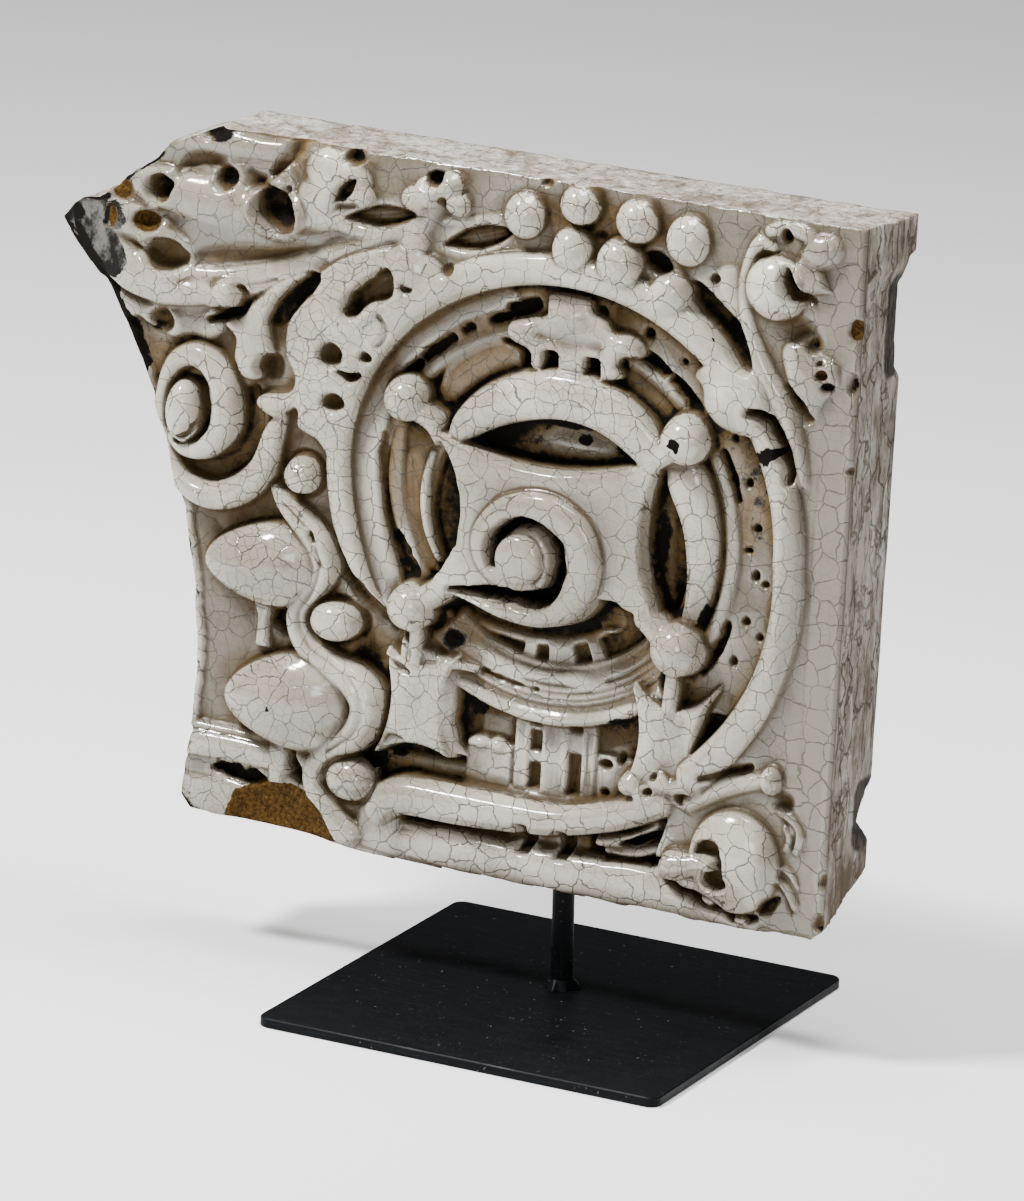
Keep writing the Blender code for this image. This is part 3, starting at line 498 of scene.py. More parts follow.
def carve_shields(r):
    """Two hollow-sided shields hung from the lower balls."""
    r.band([(-284, 156, 4.5), (-284.5, 132, 4.5)], 0)
    r.band([(-109, 158, 4.5), (-110, 132, 5)], 0)
    r.plate([(-268, 136), (-251, 139), (-256, 120), (-258, 96), (-255, 82), (-247, 72), (-262, 76), (-268, 82)], 4,
            3, 0, (0.75, 0))
    for corners, sags in ((((-305, 135), (-256, 138), (-258, 73), (-310, 68)), (-6, -8, -8, -8)),
                          (((-136, 142), (-80, 148), (-88, 66), (-139, 76)), (-14, -10, -3, -8))):
        r.plate(four_sided(corners, sags), -2, 1.6, -1.5, reach=0.3)
    r.groove([(-303, 131, 2), (-296, 127, 5), (-288, 124, 2)], 5)
    r.cut([(-304, 73, 1.5), (-299, 78, 4), (-291, 79, 1.5)], 4, 3)
    for x, z, wide, high, tilt in (
            (-133, 79, 8, 7, 30), (-122, 74, 9, 7, 0), (-96, 84, 13, 7, 10), (-112, 84, 9, 7, -20)):
        r.ball(x, z, wide, high, 6, -1, tilt, 3)
    r.hole(-93.5, 76, 9, 4.2, 8, -6)
    r.hole(-120, 77, 3.5, 2.5, 4)
    r.hole(-117, 87, 4, 2.5, 2, 40)


def carve_bars(r):
    """Upright bars and cross pieces under the bowl, and the mouldings along the foot."""
    for x0, x1, z0, z1, front in (
            (-219.5, -208.5, 14, 112, 12), (-201, -182, 14, 112, 12), (-174, -163, 14, 120, 13),
            (-212, -198, 97, 102, 13.5), (-212, -198, 76, 85, 13.5), (-186, -170, 86, 102, 14),
            (-186, -170, 20, 60, 16), (-163, -136, 50, 90, 14), (-252, -220, 56, 85, 12),
            (-244, -224, 89, 103, 17), (-312, -222, 40, 68, 13), (-222, -140, 40, 60, 11)):
        r.plate(upright(x0, x1, z0, z1), front, 3, 1)
    r.ball(-243, 84, 8, 4, 5, 14, 10)
    r.ball(-230, 84, 6, 4.5, 5, 14, -10)
    for x, z, wide, high in ((-157, 84, 5, 3), (-147, 89, 3, 4), (-156, 66, 3, 2)):
        r.hole(x, z, wide, high, 22)
    middle = [(-302, 33, 11), (-296, 40, 12), (-284, 43.5, 12), (-250, 43.5, 12), (-210, 44, 10.5), (-177, 46.5, 9),
              (-141, 56.5, 9), (-112, 70, 9)]
    r.band(middle, 3, power=2.8)
    r.plate([(-318, 1), (-50, 1), (-50, 25), (-112, 25), (-290, 24), (-318, 28)], -2, 6, 2)
    r.plate(rounded([(-320, 4), (-290, 4), (-287, 22), (-292, 42), (-306, 50), (-317, 38)]), -4, 8, 2, reach=3)
    r.cut([(-286, 27.5, 1.4), (-250, 28, 2.4), (-200, 29, 3.6), (-168, 31, 5.5), (-140, 35, 9),
           (-122, 38, 8)], 11, 2.5)
    r.pocket(-207.5, -200, 22, 40, 21)
    r.pocket(-182, -174, 22, 40, 21)
    r.band([(-116, 54, 2), (-130, 42, 4), (-155, 36, 3)], 8, 1, reach=2)
    r.band([(-112, 40, 2), (-130, 33, 3), (-150, 31, 2)], 9, 1, reach=2)
    r.cut([(-118, 46, 2.5), (-140, 37, 1.5)], 21)
    r.cut([(-108, 33, 3), (-120, 30, 2)], 20)


def carve_field(r):
    """Eggs, and the wavy band with its small balls, down the left-hand field."""
    r.cut([(-345, 204, 1), (-340, 188, 3.5), (-329, 172, 6), (-316, 159, 6), (-305, 150, 4)], 17, 4)
    r.cut([(-390, 142, 3), (-378, 140, 8), (-370, 138, 6)], 16, 4)
    r.plate([(-397, 122), (-386, 122), (-389, 140), (-384, 160), (-402, 160), (-396, 142)], 0, 3)
    r.ball(-393, 177, 41, 27, 24, 4, 4, taper=0.28)
    r.ball(-371, 91.5, 45, 32, 26, 4, 4, taper=0.28)
    r.plate([(-450, 6), (-352, 2), (-352, 40), (-450, 40)], 1.5, 4)
    r.plate([(-450, 6), (-360, 2), (-360, 30), (-392, 32), (-450, 33)], -1.5, 4)
    r.band([(-446, 53, 9), (-400, 52.5, 8.5), (-345, 50, 8)], 4, power=3)
    r.plate([(-381, 36), (-370, 36), (-370, 62), (-381, 62)], -4.5, 3)
    r.cut([(-366, 56, 3), (-362, 44, 5.5)], 13, 3)
    pit = 7 + 3 * rough(r.x, r.z, 8, 51, 3)
    pick, into = r.inside(rounded([(-424, 38), (-415, 43), (-395, 42), (-383, 36), (-400, 32)]), 1)
    r.sink_to(pick, pit[pick], smooth(into / 2 + 0.3 + 0.6 * noise(r.x[pick], r.z[pick], 4, 52)))
    wave = [(-387, 226, 3), (-378, 217, 6), (-366, 208, 8), (-354, 196, 8.5), (-349, 179, 7.5), (-358, 163, 7),
            (-367, 148, 7), (-361, 131, 7.5), (-344, 120, 9), (-325, 112, 10.5), (-315, 98, 11), (-320, 80, 10),
            (-338, 65, 8), (-350, 51, 7), (-348, 36, 7), (-336, 23, 8.5), (-322, 13, 10)]
    r.band(wave, 1, 1.15, power=2.5)
    r.groove([(-380, 220, 1), (-368, 212, 2.5), (-357, 202, 3), (-350, 184, 2)], 3)
    r.hole(-357, 201, 1.6, 4, 3, 20)
    r.groove([(-350, 186, 1.5), (-354, 168, 3), (-364, 150, 3), (-357, 132, 3), (-338, 122, 3), (-323, 114, 3.5),
              (-315, 98, 4), (-320, 81, 3.5), (-338, 66, 2)], 2.4)
    for x, z, wide, high in ((-368, 238, 11.5, 12), (-341, 148, 16, 13), (-324, 48, 16.5, 14)):
        r.groove(oval_loop(x, z, wide + 1, high + 1, 0, 3), 3)
        r.ball(x, z, wide, high, 13, 0)


def carve_volute(r):
    """Big open volute at the left edge, wound twice round its eye."""
    r.cut([(-452, 236, 4), (-436, 230, 8), (-414, 240, 8), (-406, 262, 7), (-408, 284, 5)], 11, 4)
    knots = [(-384, 274, 3), (-389, 262, 7), (-396, 238, 9), (-412, 221, 9.5), (-434, 214, 8.5), (-455, 223, 6),
             (-467, 246, 4.5), (-469, 274, 4.5), (-461, 296, 6), (-443, 303, 8.5), (-427, 289, 10), (-424, 264, 11),
             (-437, 246, 8.5), (-452, 242, 5.5), (-462, 250, 3.5)]
    r.band(knots, 2, 1.2, power=2.4)
    r.groove([(-444, 298, 1.5), (-433, 284, 3), (-431, 264, 3), (-440, 250, 1.5)], 2.5)
    r.cut([(-457, 286, 1.5), (-445, 286, 2.5), (-437, 276, 3), (-436, 262, 3.5), (-444, 251, 3),
           (-456, 247, 2)], 10, 3)
    r.ball(-453, 266, 11.5, 20, 13, 0)
    r.cut([(-441, 274, 1), (-442, 262, 2.2), (-449, 252, 1.6), (-456, 250, 0.8)], 0, 2)


def carve_acanthus(r):
    """Sweeping acanthus at the broken corner: ribs that run together towards the ring."""
    r.swell(-450, 400, 70, 46, 5, 6)
    ribs = (
        ((-508, 362, 14), (-486, 349, 16), (-456, 345, 15), (-425, 352, 12), (-390, 366, 8.5), (-350, 386, 7),
         (-306, 404, 6)),
        ((-500, 384, 13), (-470, 380, 15), (-435, 384, 13), (-395, 386, 9), (-350, 395, 6.5), (-310, 408, 5)),
        ((-484, 408, 13), (-455, 404, 18), (-425, 402, 16), (-392, 402, 15), (-355, 404, 9), (-330, 412, 5)),
        ((-474, 430, 7), (-450, 440, 10), (-420, 440, 9), (-392, 440, 7)))
    for k, knots in enumerate(ribs):
        r.band(knots, 3 + 0.4 * k, 0.95, power=2.2, reach=5)
    # lower leaf with a scalloped edge, behind the lowest rib
    leaf = [(-506, 344), (-503, 330), (-498, 318), (-489, 320), (-478, 316), (-463, 311), (-450, 314), (-437, 313),
            (-428, 322), (-436, 334), (-470, 340)]
    r.plate(rounded(leaf), -1, 6, 1.5, reach=2)
    r.groove([(-508, 340, 2), (-490, 334, 3.5), (-465, 332, 3.5), (-440, 336, 3)], 3.5)
    r.cut([(-438, 327, 1.5), (-426, 331, 3.5), (-412, 338, 4.5), (-396, 345, 7), (-382, 354, 8),
           (-368, 364, 3)], 12, 3)
    r.groove([(-470, 390, 8), (-452, 380, 16), (-428, 374, 20), (-400, 375, 17), (-365, 385, 11),
              (-330, 398, 6)], 5)
    r.groove([(-455, 352, 6), (-425, 355, 9), (-395, 362, 8), (-360, 376, 5)], 3)
    r.groove([(-380, 392, 4), (-362, 394, 7), (-335, 402, 5)], 3)
    r.groove([(-463, 410, 4), (-460, 419, 6.5), (-450, 426, 8.5), (-438, 427, 8.5), (-426, 421, 6)], 5.5)
    r.groove([(-414, 424, 5), (-404, 417, 8), (-394, 409, 8)], 3.5)
    r.swell(-405, 414, 14, 12, -5, -30)
    r.groove([(-398, 426, 4), (-386, 440, 8), (-376, 450, 7)], 6)
    r.plate([(-399, 420), (-386, 434), (-380, 420), (-386, 415)], -4, 4, reach=3)
    r.ball(-424, 347, 8.5, 9, 8, -6)
    r.cut([(-417, 352, 1), (-412, 348, 2.2), (-415, 340, 2), (-422, 336, 1)], 1, 2.5)
    r.groove([(-416, 352, 3), (-402, 356, 3), (-392, 360, 2)], 2.5)
    for x, z, wide, high, tilt, floor, rim in (
            (-473, 407, 9.5, 9, 0, 6, 2), (-481, 384.5, 10, 7, -6, 0.5, 1), (-467.5, 365.5, 14.5, 11, -8, 3, 2.5),
            (-428.5, 418.5, 7, 7, 0, 6, 1.5), (-392.5, 403.5, 15.5, 12.5, -38, 11, 4),
            (-471, 321.5, 8.8, 8.2, 0, 7, 1.5), (-502, 401, 8.5, 7.5, 30, 1, 0), (-506, 384, 3.5, 7, 0, -2, 0),
            (-440, 446, 5.5, 5, 20, 6, 0), (-386, 418, 2.5, 2.5, 0, 3, 0)):
        if rim:
            r.groove(oval_loop(x, z, wide + 2.5, high + 2.5, tilt, 4.5), -rim)
        r.hole(x, z, wide, high, floor, tilt)


def carve_top_curls(r):
    """Curled leaves and pointed slots along the top edge, left of the beads."""
    r.ball(-352, 431, 24, 17, 12, 1, -12, 3)
    r.ball(-366, 416, 15, 14, 10, 1, 30, 3)
    r.ball(-360, 438, 9, 10, 11, 1, 0, 3)
    r.slot(-346, 423.5, 21, 8, 46, 4, 2)
    r.ball(-334, 421, 8, 8.5, 8, -1, 40)
    r.hole(-342, 444, 6.5, 5, 5)
    r.band([(-352, 400, 4), (-330, 398, 5), (-300, 404, 5)], 2, 0.9, reach=3)
    for x, z, wide, high, tilt in (
            (-299, 425, 10, 8.5, 10), (-290, 430, 11, 10, 0), (-276, 436, 10, 9, 20), (-270, 426, 9, 8, -20)):
        r.ball(x, z, wide, high, 11, 0.5, tilt, 1.5)
    r.hole(-287, 439, 7, 5, 7, 15)
    r.hole(-280, 425.5, 3.5, 3, 2)
    r.band([(-287, 424, 7), (-296, 408, 9), (-300, 392, 12), (-312, 374, 14)], 3, 0.85, reach=3)
    r.band([(-278, 414, 4), (-255, 417, 4.5), (-236, 423, 4)], 2, 0.9)
    r.slot(-322, 410, 48, 13, 9, 8, 3)
    r.slot(-256, 406, 50, 14, 18, 10, 3)
    for dz in (-1.5, 1.5):
        r.groove([(-342, 406 + dz, 0.8), (-322, 410 + dz, 1.2), (-302, 414 + dz, 0.8)], -1.6)
        r.groove([(-276, 399.5 + dz, 0.8), (-256, 405.5 + dz, 1.2), (-238, 412 + dz, 0.8)], -1.6)


def carve_shoulder_leaves(r):
    """Leaves that grip the shoulders of the great ring, and the ones that hang beside it."""
    outline = [(-310, 394), (-336, 386), (-356, 374), (-372, 356), (-382, 336), (-383, 314),
               (-376, 300), (-380, 289), (-398, 285), (-402, 279), (-390, 272), (-374, 280), (-372, 268),
               (-358, 262), (-350, 254), (-340, 262), (-336, 290), (-324, 318), (-304, 344), (-284, 362),
               (-272, 378), (-288, 392)]
    r.plate(rounded(outline, 4), -7, 7, 2, reach=3)
    r.groove([(-318, 390, 2), (-352, 374, 3.5), (-374, 345, 4), (-377, 318, 3)], -2)
    r.sink(rounded([(-316, 379), (-310, 372), (-313, 360), (-326, 355), (-336, 345), (-342, 347), (-340, 358),
                    (-330, 368)]), 6, 4)
    r.groove([(-311, 360, 2), (-320, 352, 3), (-332, 342, 2)], -3)
    r.hole(-350, 319, 8.5, 8, 4)
    r.ball(-336, 316, 7.5, 8, 7, -3, 20)
    r.hole(-326, 321, 4, 3.5, 3)
    r.cut([(-345, 309, 1.5), (-337, 306, 3), (-330, 309, 1.5)], 5)
    r.hole(-300, 370, 5, 4, 0, 30)
    r.hole(-347, 289, 8, 6, 3)
    r.hole(-274, 384, 4.5, 4, 2)
    r.groove([(-319, 350, 2), (-312, 340, 4), (-318, 330, 3)], 3)
    r.ball(-300, 380, 10, 12, 6, -5, 40, 4)
    hanging = [(-372, 366), (-392, 358), (-408, 344), (-416, 332), (-428, 326), (-420, 318), (-420, 304),
               (-412, 296), (-398, 298), (-393, 312), (-396, 330), (-386, 346)]
    r.plate(rounded(hanging), -3, 6, 3, reach=1.5)
    r.ball(-407, 302, 9, 9, 8, 0, 0, 3)
    r.hole(-395, 303, 7.5, 9, 11, 10)
    r.sink(rounded([(-397, 331), (-391, 346), (-378, 360), (-361, 367), (-366, 356), (-377, 343),
                    (-387, 331)]), 9, 4)
    # right-hand shoulder
    outline = [(-100, 350), (-104, 345), (-98, 338), (-97, 328), (-91, 320), (-84, 315), (-70, 312), (-58, 316),
               (-52, 330), (-62, 350), (-84, 358)]
    r.plate(rounded(outline, 4), -11, 6, 3, reach=2)
    r.swell(-80, 338, 12, 9, 2.5)
    r.band([(-68, 436, 3), (-75, 420, 4), (-77, 400, 4.5), (-72, 378, 5.5), (-62, 356, 8), (-48, 336, 8),
            (-36, 312, 6), (-30, 288, 4)], 1, 1.1, reach=2)
    r.sink(rounded([(-117, 399), (-108, 400), (-95, 390), (-81, 379), (-72, 366), (-69, 352), (-76, 354),
                    (-90, 368), (-108, 384)]), 16, 3)
    leaf = [(-98, 410), (-88, 416), (-80, 412), (-80, 384), (-90, 390), (-96, 400)]
    r.plate(rounded(leaf), -2, 5, 2, reach=2)
    r.cut([(-66, 328, 2), (-56, 325, 3.8), (-47, 314, 3.6), (-41, 300, 3), (-38, 288, 1.5)], 9)
    leaf = [(-50, 368), (-40, 378), (-32, 380), (-28, 370), (-14, 366), (-12, 352), (-20, 340), (-28, 326),
            (-38, 330), (-44, 346)]
    r.plate(rounded(leaf), -5, 6, 3, reach=2)
    r.cut([(-44, 346, 1.5), (-38, 339, 3.4), (-30, 328, 2.5)], 7)
    for x, z, wide, high in ((-29, 374, 5.5, 5), (-22, 357, 4, 3.5), (-18, 350, 4.5, 3.5), (-24, 364, 2, 2)):
        r.hole(x, z, wide, high, 2)


def carve_right_curl(r):
    """Fat curl with a hooked eye near the top right corner."""
    r.ball(-55, 406, 21, 21, 17, 1, 0, 2)
    r.ball(-28, 432, 15, 11, 10, 2, 25, 3)
    r.band([(-74, 424, 3.5), (-68, 432, 4.5), (-60, 430, 3.5)], 0, 1.2)
    r.band([(-62, 440, 4), (-50, 444, 5), (-36, 440, 5)], 0, 1, reach=3)
    r.plate([(-50, 416), (-40, 428), (-26, 420), (-20, 408), (-32, 405), (-44, 408)], -6, 5, 2, reach=2)
    r.cut([(-48, 419, 2), (-46, 412, 4), (-41, 404, 4), (-31, 401.5, 1.5)], 4)
    r.hole(-51.5, 438.5, 4, 5, 5)
    r.cut([(-68, 424, 1.2), (-62, 426, 2.2), (-56, 428, 1)], 2)
    r.swell(-40, 382, 20, 12, -6, -20)


def carve_beads(r):
    """Five loose beads and two more that lie on the ring, with the hollow they sit in."""
    r.swell(-168, 428, 86, 26, -3.5, 0)
    for x, z, wide, high in ((-224.5, 425.5, 13.6, 14.6), (-188, 437.5, 13, 12.8), (-149.5, 433, 14, 14),
                             (-115, 426, 14.5, 16), (-191.5, 409.5, 13.4, 14), (-159.5, 405.5, 15.4, 15.8)):
        r.ball(x, z, wide, high, 14, -0.5, reach=0.5)
    r.ball(-127, 389, 13, 18, 13, 0.5, -35, 2)
    r.cut([(-143, 412, 2), (-136, 409, 6), (-129, 407, 2.5)], 9, 3)
    r.hole(-212, 447.5, 4, 3, 5)
    r.hole(-175, 420, 4, 3, 6)
    r.hole(-97, 405, 4, 3, 5, 10)


def carve_pod(r):
    """Round seed pod with its twisting leaves at the lower right corner."""
    r.groove([(-84, 93, 3), (-68, 98, 5), (-54, 104, 3)], 8)
    r.band([(-92, 74, 6), (-70, 88, 7), (-52, 95, 6), (-40, 99, 7)], 2, 1, reach=3)
    r.ball(-38, 99, 7, 9, 9, -2, 0, 2)
    r.ball(-59, 43.5, 31.5, 34, 20, 1, 0, 1)
    for x, z, wide, high, deep, tilt in (
            (-99, 32, 11, 8, 9, 20), (-90, 37, 12, 9, 10, 10), (-88, 26, 11, 8, 9, -20), (-78, 20, 10, 7, 8, -10)):
        r.ball(x, z, wide, high, deep, -1, tilt, 3)
    # comma-shaped hole with a lobe that curls into it from the left
    for x, z, wide, high, tilt in (
            (-74, 50, 10, 6.5, 15), (-66.5, 44, 4.5, 6.5, 0), (-68, 31.5, 9, 6, 0), (-65, 38, 3.6, 5, 0)):
        r.hole(x, z, wide, high, 0, tilt, 2.5)
    r.band([(-98, 35, 9), (-86, 38, 7), (-77, 41, 5), (-72, 42, 3)], -8, 1, reach=1.5)
    r.cut([(-104, 24, 2), (-96, 20, 3.5), (-86, 17, 4), (-76, 15, 5), (-66, 12, 3), (-60, 6, 2)], 8)
    r.cut([(-62, 7, 1), (-54, 6.5, 3), (-44, 9, 1.5)], 6)
    r.cut([(-41, 14, 1.5), (-36, 19, 4), (-30, 24, 1.5)], 6)
    r.ball(-77, 15, 5, 3.2, 4, 2, -30)
    r.ball(-54, 6, 5, 2.2, 4, 2, 0)
    r.swell(-30, 86, 9, 8, -6)
    for knots in (((-32, 80, 2.5), (-24, 76, 3.6), (-18, 66, 3.6), (-20, 57, 2.5)),
                  ((-28, 70, 1.5), (-24, 64, 2.4), (-27, 56, 1.5)), ((-32, 38, 2.5), (-24, 32, 3.6), (-18, 22, 3)),
                  ((-30, 46, 1.5), (-22, 42, 2.4), (-17, 34, 1.5))):
        r.band(knots, -1, 1, reach=1)
    r.groove([(-30, 76, 1.5), (-21, 70, 2.2), (-22, 58, 1.5)], 4)
    r.groove([(-30, 34, 1.5), (-24, 26, 2.2), (-20, 17, 1.5)], 3.5)


def carve_edges(r):
    """Rounded arris down the right, worn top and bottom edges, the broken tip and the scar."""
    x, z = r.x, r.z
    side_radius, top_radius, foot_radius = 4, 4.5, 5
    inward = np.clip(x + side_radius, 0, side_radius)
    r.y += side_radius - np.sqrt(np.maximum(side_radius**2 - inward**2, 0))
    r.groove([(-21, 300, 1.5), (-22, 200, 1.6), (-20, 110, 1.2)], 0.7)
    for px, pz, wide, high in ((-3, 387, 5, 7), (-3, 353, 4, 8), (-1, 300, 3, 3), (-1, 41, 3, 5), (-2, 14, 4, 6)):
        r.hole(px, pz, wide, high, 5)
    near = x - left_edge(z, 0) + 1.2 * rough(x, z, 9, 13, 3)
    rim = smooth((5 - near) / 3) * smooth((348 - z) / 6) * smooth((z - 58) / 6)
    r.y -= np.maximum(r.y - 1.5, 0) * rim
    worn = smooth((-300 - x) / 60)
    top = np.clip(z - (PANEL_HEIGHT - 3 - 2 * worn) + (1.5 + worn) * noise(x, z, 9, 11), 0, top_radius - 0.1)
    r.y += top_radius - np.sqrt(np.maximum(top_radius**2 - top**2, 0))
    foot = np.clip(4 - z + 1.5 * rough(x, z, 14, 12, 3), 0, foot_radius)
    r.y += foot_radius - np.sqrt(np.maximum(foot_radius**2 - foot**2, 0))
    # broken tip, a rough plane that slopes back to the left, and the clay scar at the foot
    grain = rough(x, z, 14, 21, 5)
    coarse = rough(x, z, 26, 23, 5)
    tip = -1 + (-0.45 * (x + 513 + 5 * coarse) + 0.06 * (z - 372)) / 0.89 + 4.2 * coarse
    tip = np.where(x < -440, tip, -50)
    broken = tip > r.y - 0.6
    r.y = np.maximum(r.y, tip)
    pick, radius, _ = r.oval(-372, 4, 39, 33, -3, 2)
    bite = -4 + 9 * np.sqrt(np.clip(1 - radius**2, 0, 1)) + 0.8 * grain[pick]
    r.y[pick] = np.where(radius < 1, np.maximum(r.y[pick], bite), r.y[pick])
    r.mask("clay")[pick] = np.clip(1.5 * (1.04 - radius) / 0.08, 0, 1)
    r.mask("fracture")[broken] = 1
    for px, pz, wide, high in (
            (-482, 384.5, 8, 6), (-503, 401, 6.5, 6), (-507, 384, 3, 7), (-3, 387, 4, 6), (-22, 357, 3.5, 3)):
        r.spot("clay", px, pz, wide, high)


# ---------------------------------------------------------------- the panel as one closed mesh

def left_edge(z, w):
    """x of the left side at height z and share w of the depth: hollow curve, then the broken tip."""
    curve = bowed((-438, 64), (-512, 342), -24, 40)
    knots = np.vstack([[(-345, 0), (-400, 5), (-434, 8.5), (-442, 18), (-441, 40), (-435, 60)], curve,
                       [(-512, 342), (-524, 350), (-538, 359), (-546, 365), (-553, 372), (-543, 383), (-534, 389),
                        (-520, 392), (-508, 402), (-500, 410), (-483, 421), (-471, 436), (-456, 441), (-436, 450)]])
    broken = smooth((z - 335) / 15) + smooth((30 - z) / 15)
    chips = rough(z, PANEL_DEPTH * w, 12, 31, 4) * (0.7 + 1.6 * broken)
    return np.interp(z, knots[:, 1], knots[:, 0]) + np.maximum(chips, -0.6)


def right_edge(z, w):
    """x of the right side: it splays towards the back, with the broken corner, notch and chips."""
    y = PANEL_DEPTH * w
    flare = (2.4 + 5.4 * smooth((z - 405) / 21)) * smooth(w * 1.4)
    streaks = 0.35 * rough(z / 6, y, 7, 33, 3)
    x = flare + (streaks - 0.6) * smooth(w * 12)
    grain = rough(z, y, 16, 35, 5)
    corner = -7 + z - 0.38 * y + 3 * grain
    notch = 9 * smooth(1.2 - np.hypot((z - 70) / 17, (w - 1) / 0.34) + 0.25 * grain)
    chip = 5 * smooth((w - 0.80 + 0.05 * grain) / 0.12) * smooth((z - 346) / 10) * smooth((428 - z) / 8)
    return np.minimum(x - notch - chip, corner)


def top_edge(u, w):
    """z of the top at share u across and w deep: level, and slightly rough."""
    return PANEL_HEIGHT - 0.7 + 0.4 * rough(PANEL_WIDTH * u, PANEL_DEPTH * w, 18, 37, 4)


def foot_edge(u, w):
    """z of the underside: rough, and broken upwards at the front of its left end."""
    rise = 1.6 + 1.2 * rough(440 * u, PANEL_DEPTH * w, 20, 39, 4)
    scar = 7 * smooth(1.3 - np.hypot((u - 0.02) / 0.12, w / 0.35))
    return np.maximum(rise, 0.2) + scar


def back_face(x, z):
    """y of the back: nearly flat, and cut away behind the broken tip."""
    flat = PANEL_DEPTH - 0.6 + 0.5 * rough(x, z, 60, 41, 3)
    cut = PANEL_DEPTH + (0.72 * (x + 520) + 0.20 * (z - 372)) / 0.66 + 3 * rough(x, z, 18, 43, 4)
    return np.minimum(flat, np.where(x < -470, cut, flat))


def blur(field, reach):
    """Mean over a square window of reach cells each way, run twice."""
    for _ in range(2):
        for axis in (0, 1):
            pad = [(0, 0), (0, 0)]
            pad[axis] = (reach + 1, reach)
            total = np.cumsum(np.pad(field, pad, mode="edge"), axis=axis)
            wide = 2 * reach + 1
            upper = np.take(total, range(wide, total.shape[axis]), axis=axis)
            lower = np.take(total, range(0, total.shape[axis] - wide), axis=axis)
            field = (upper - lower) / wide
    return field


def carve(x, z):
    """Relief of the whole face at the points, region by region, each over what is there."""
    r = Relief(x, z)
    for region in (carve_ground, carve_rings, carve_bars, carve_bowl, carve_upper_dish, carve_shields, carve_star,
                   carve_field, carve_volute, carve_acanthus, carve_top_curls, carve_shoulder_leaves,
                   carve_right_curl, carve_beads, carve_pod, carve_edges, paint_stains_and_shade):
        region(r)
    return r


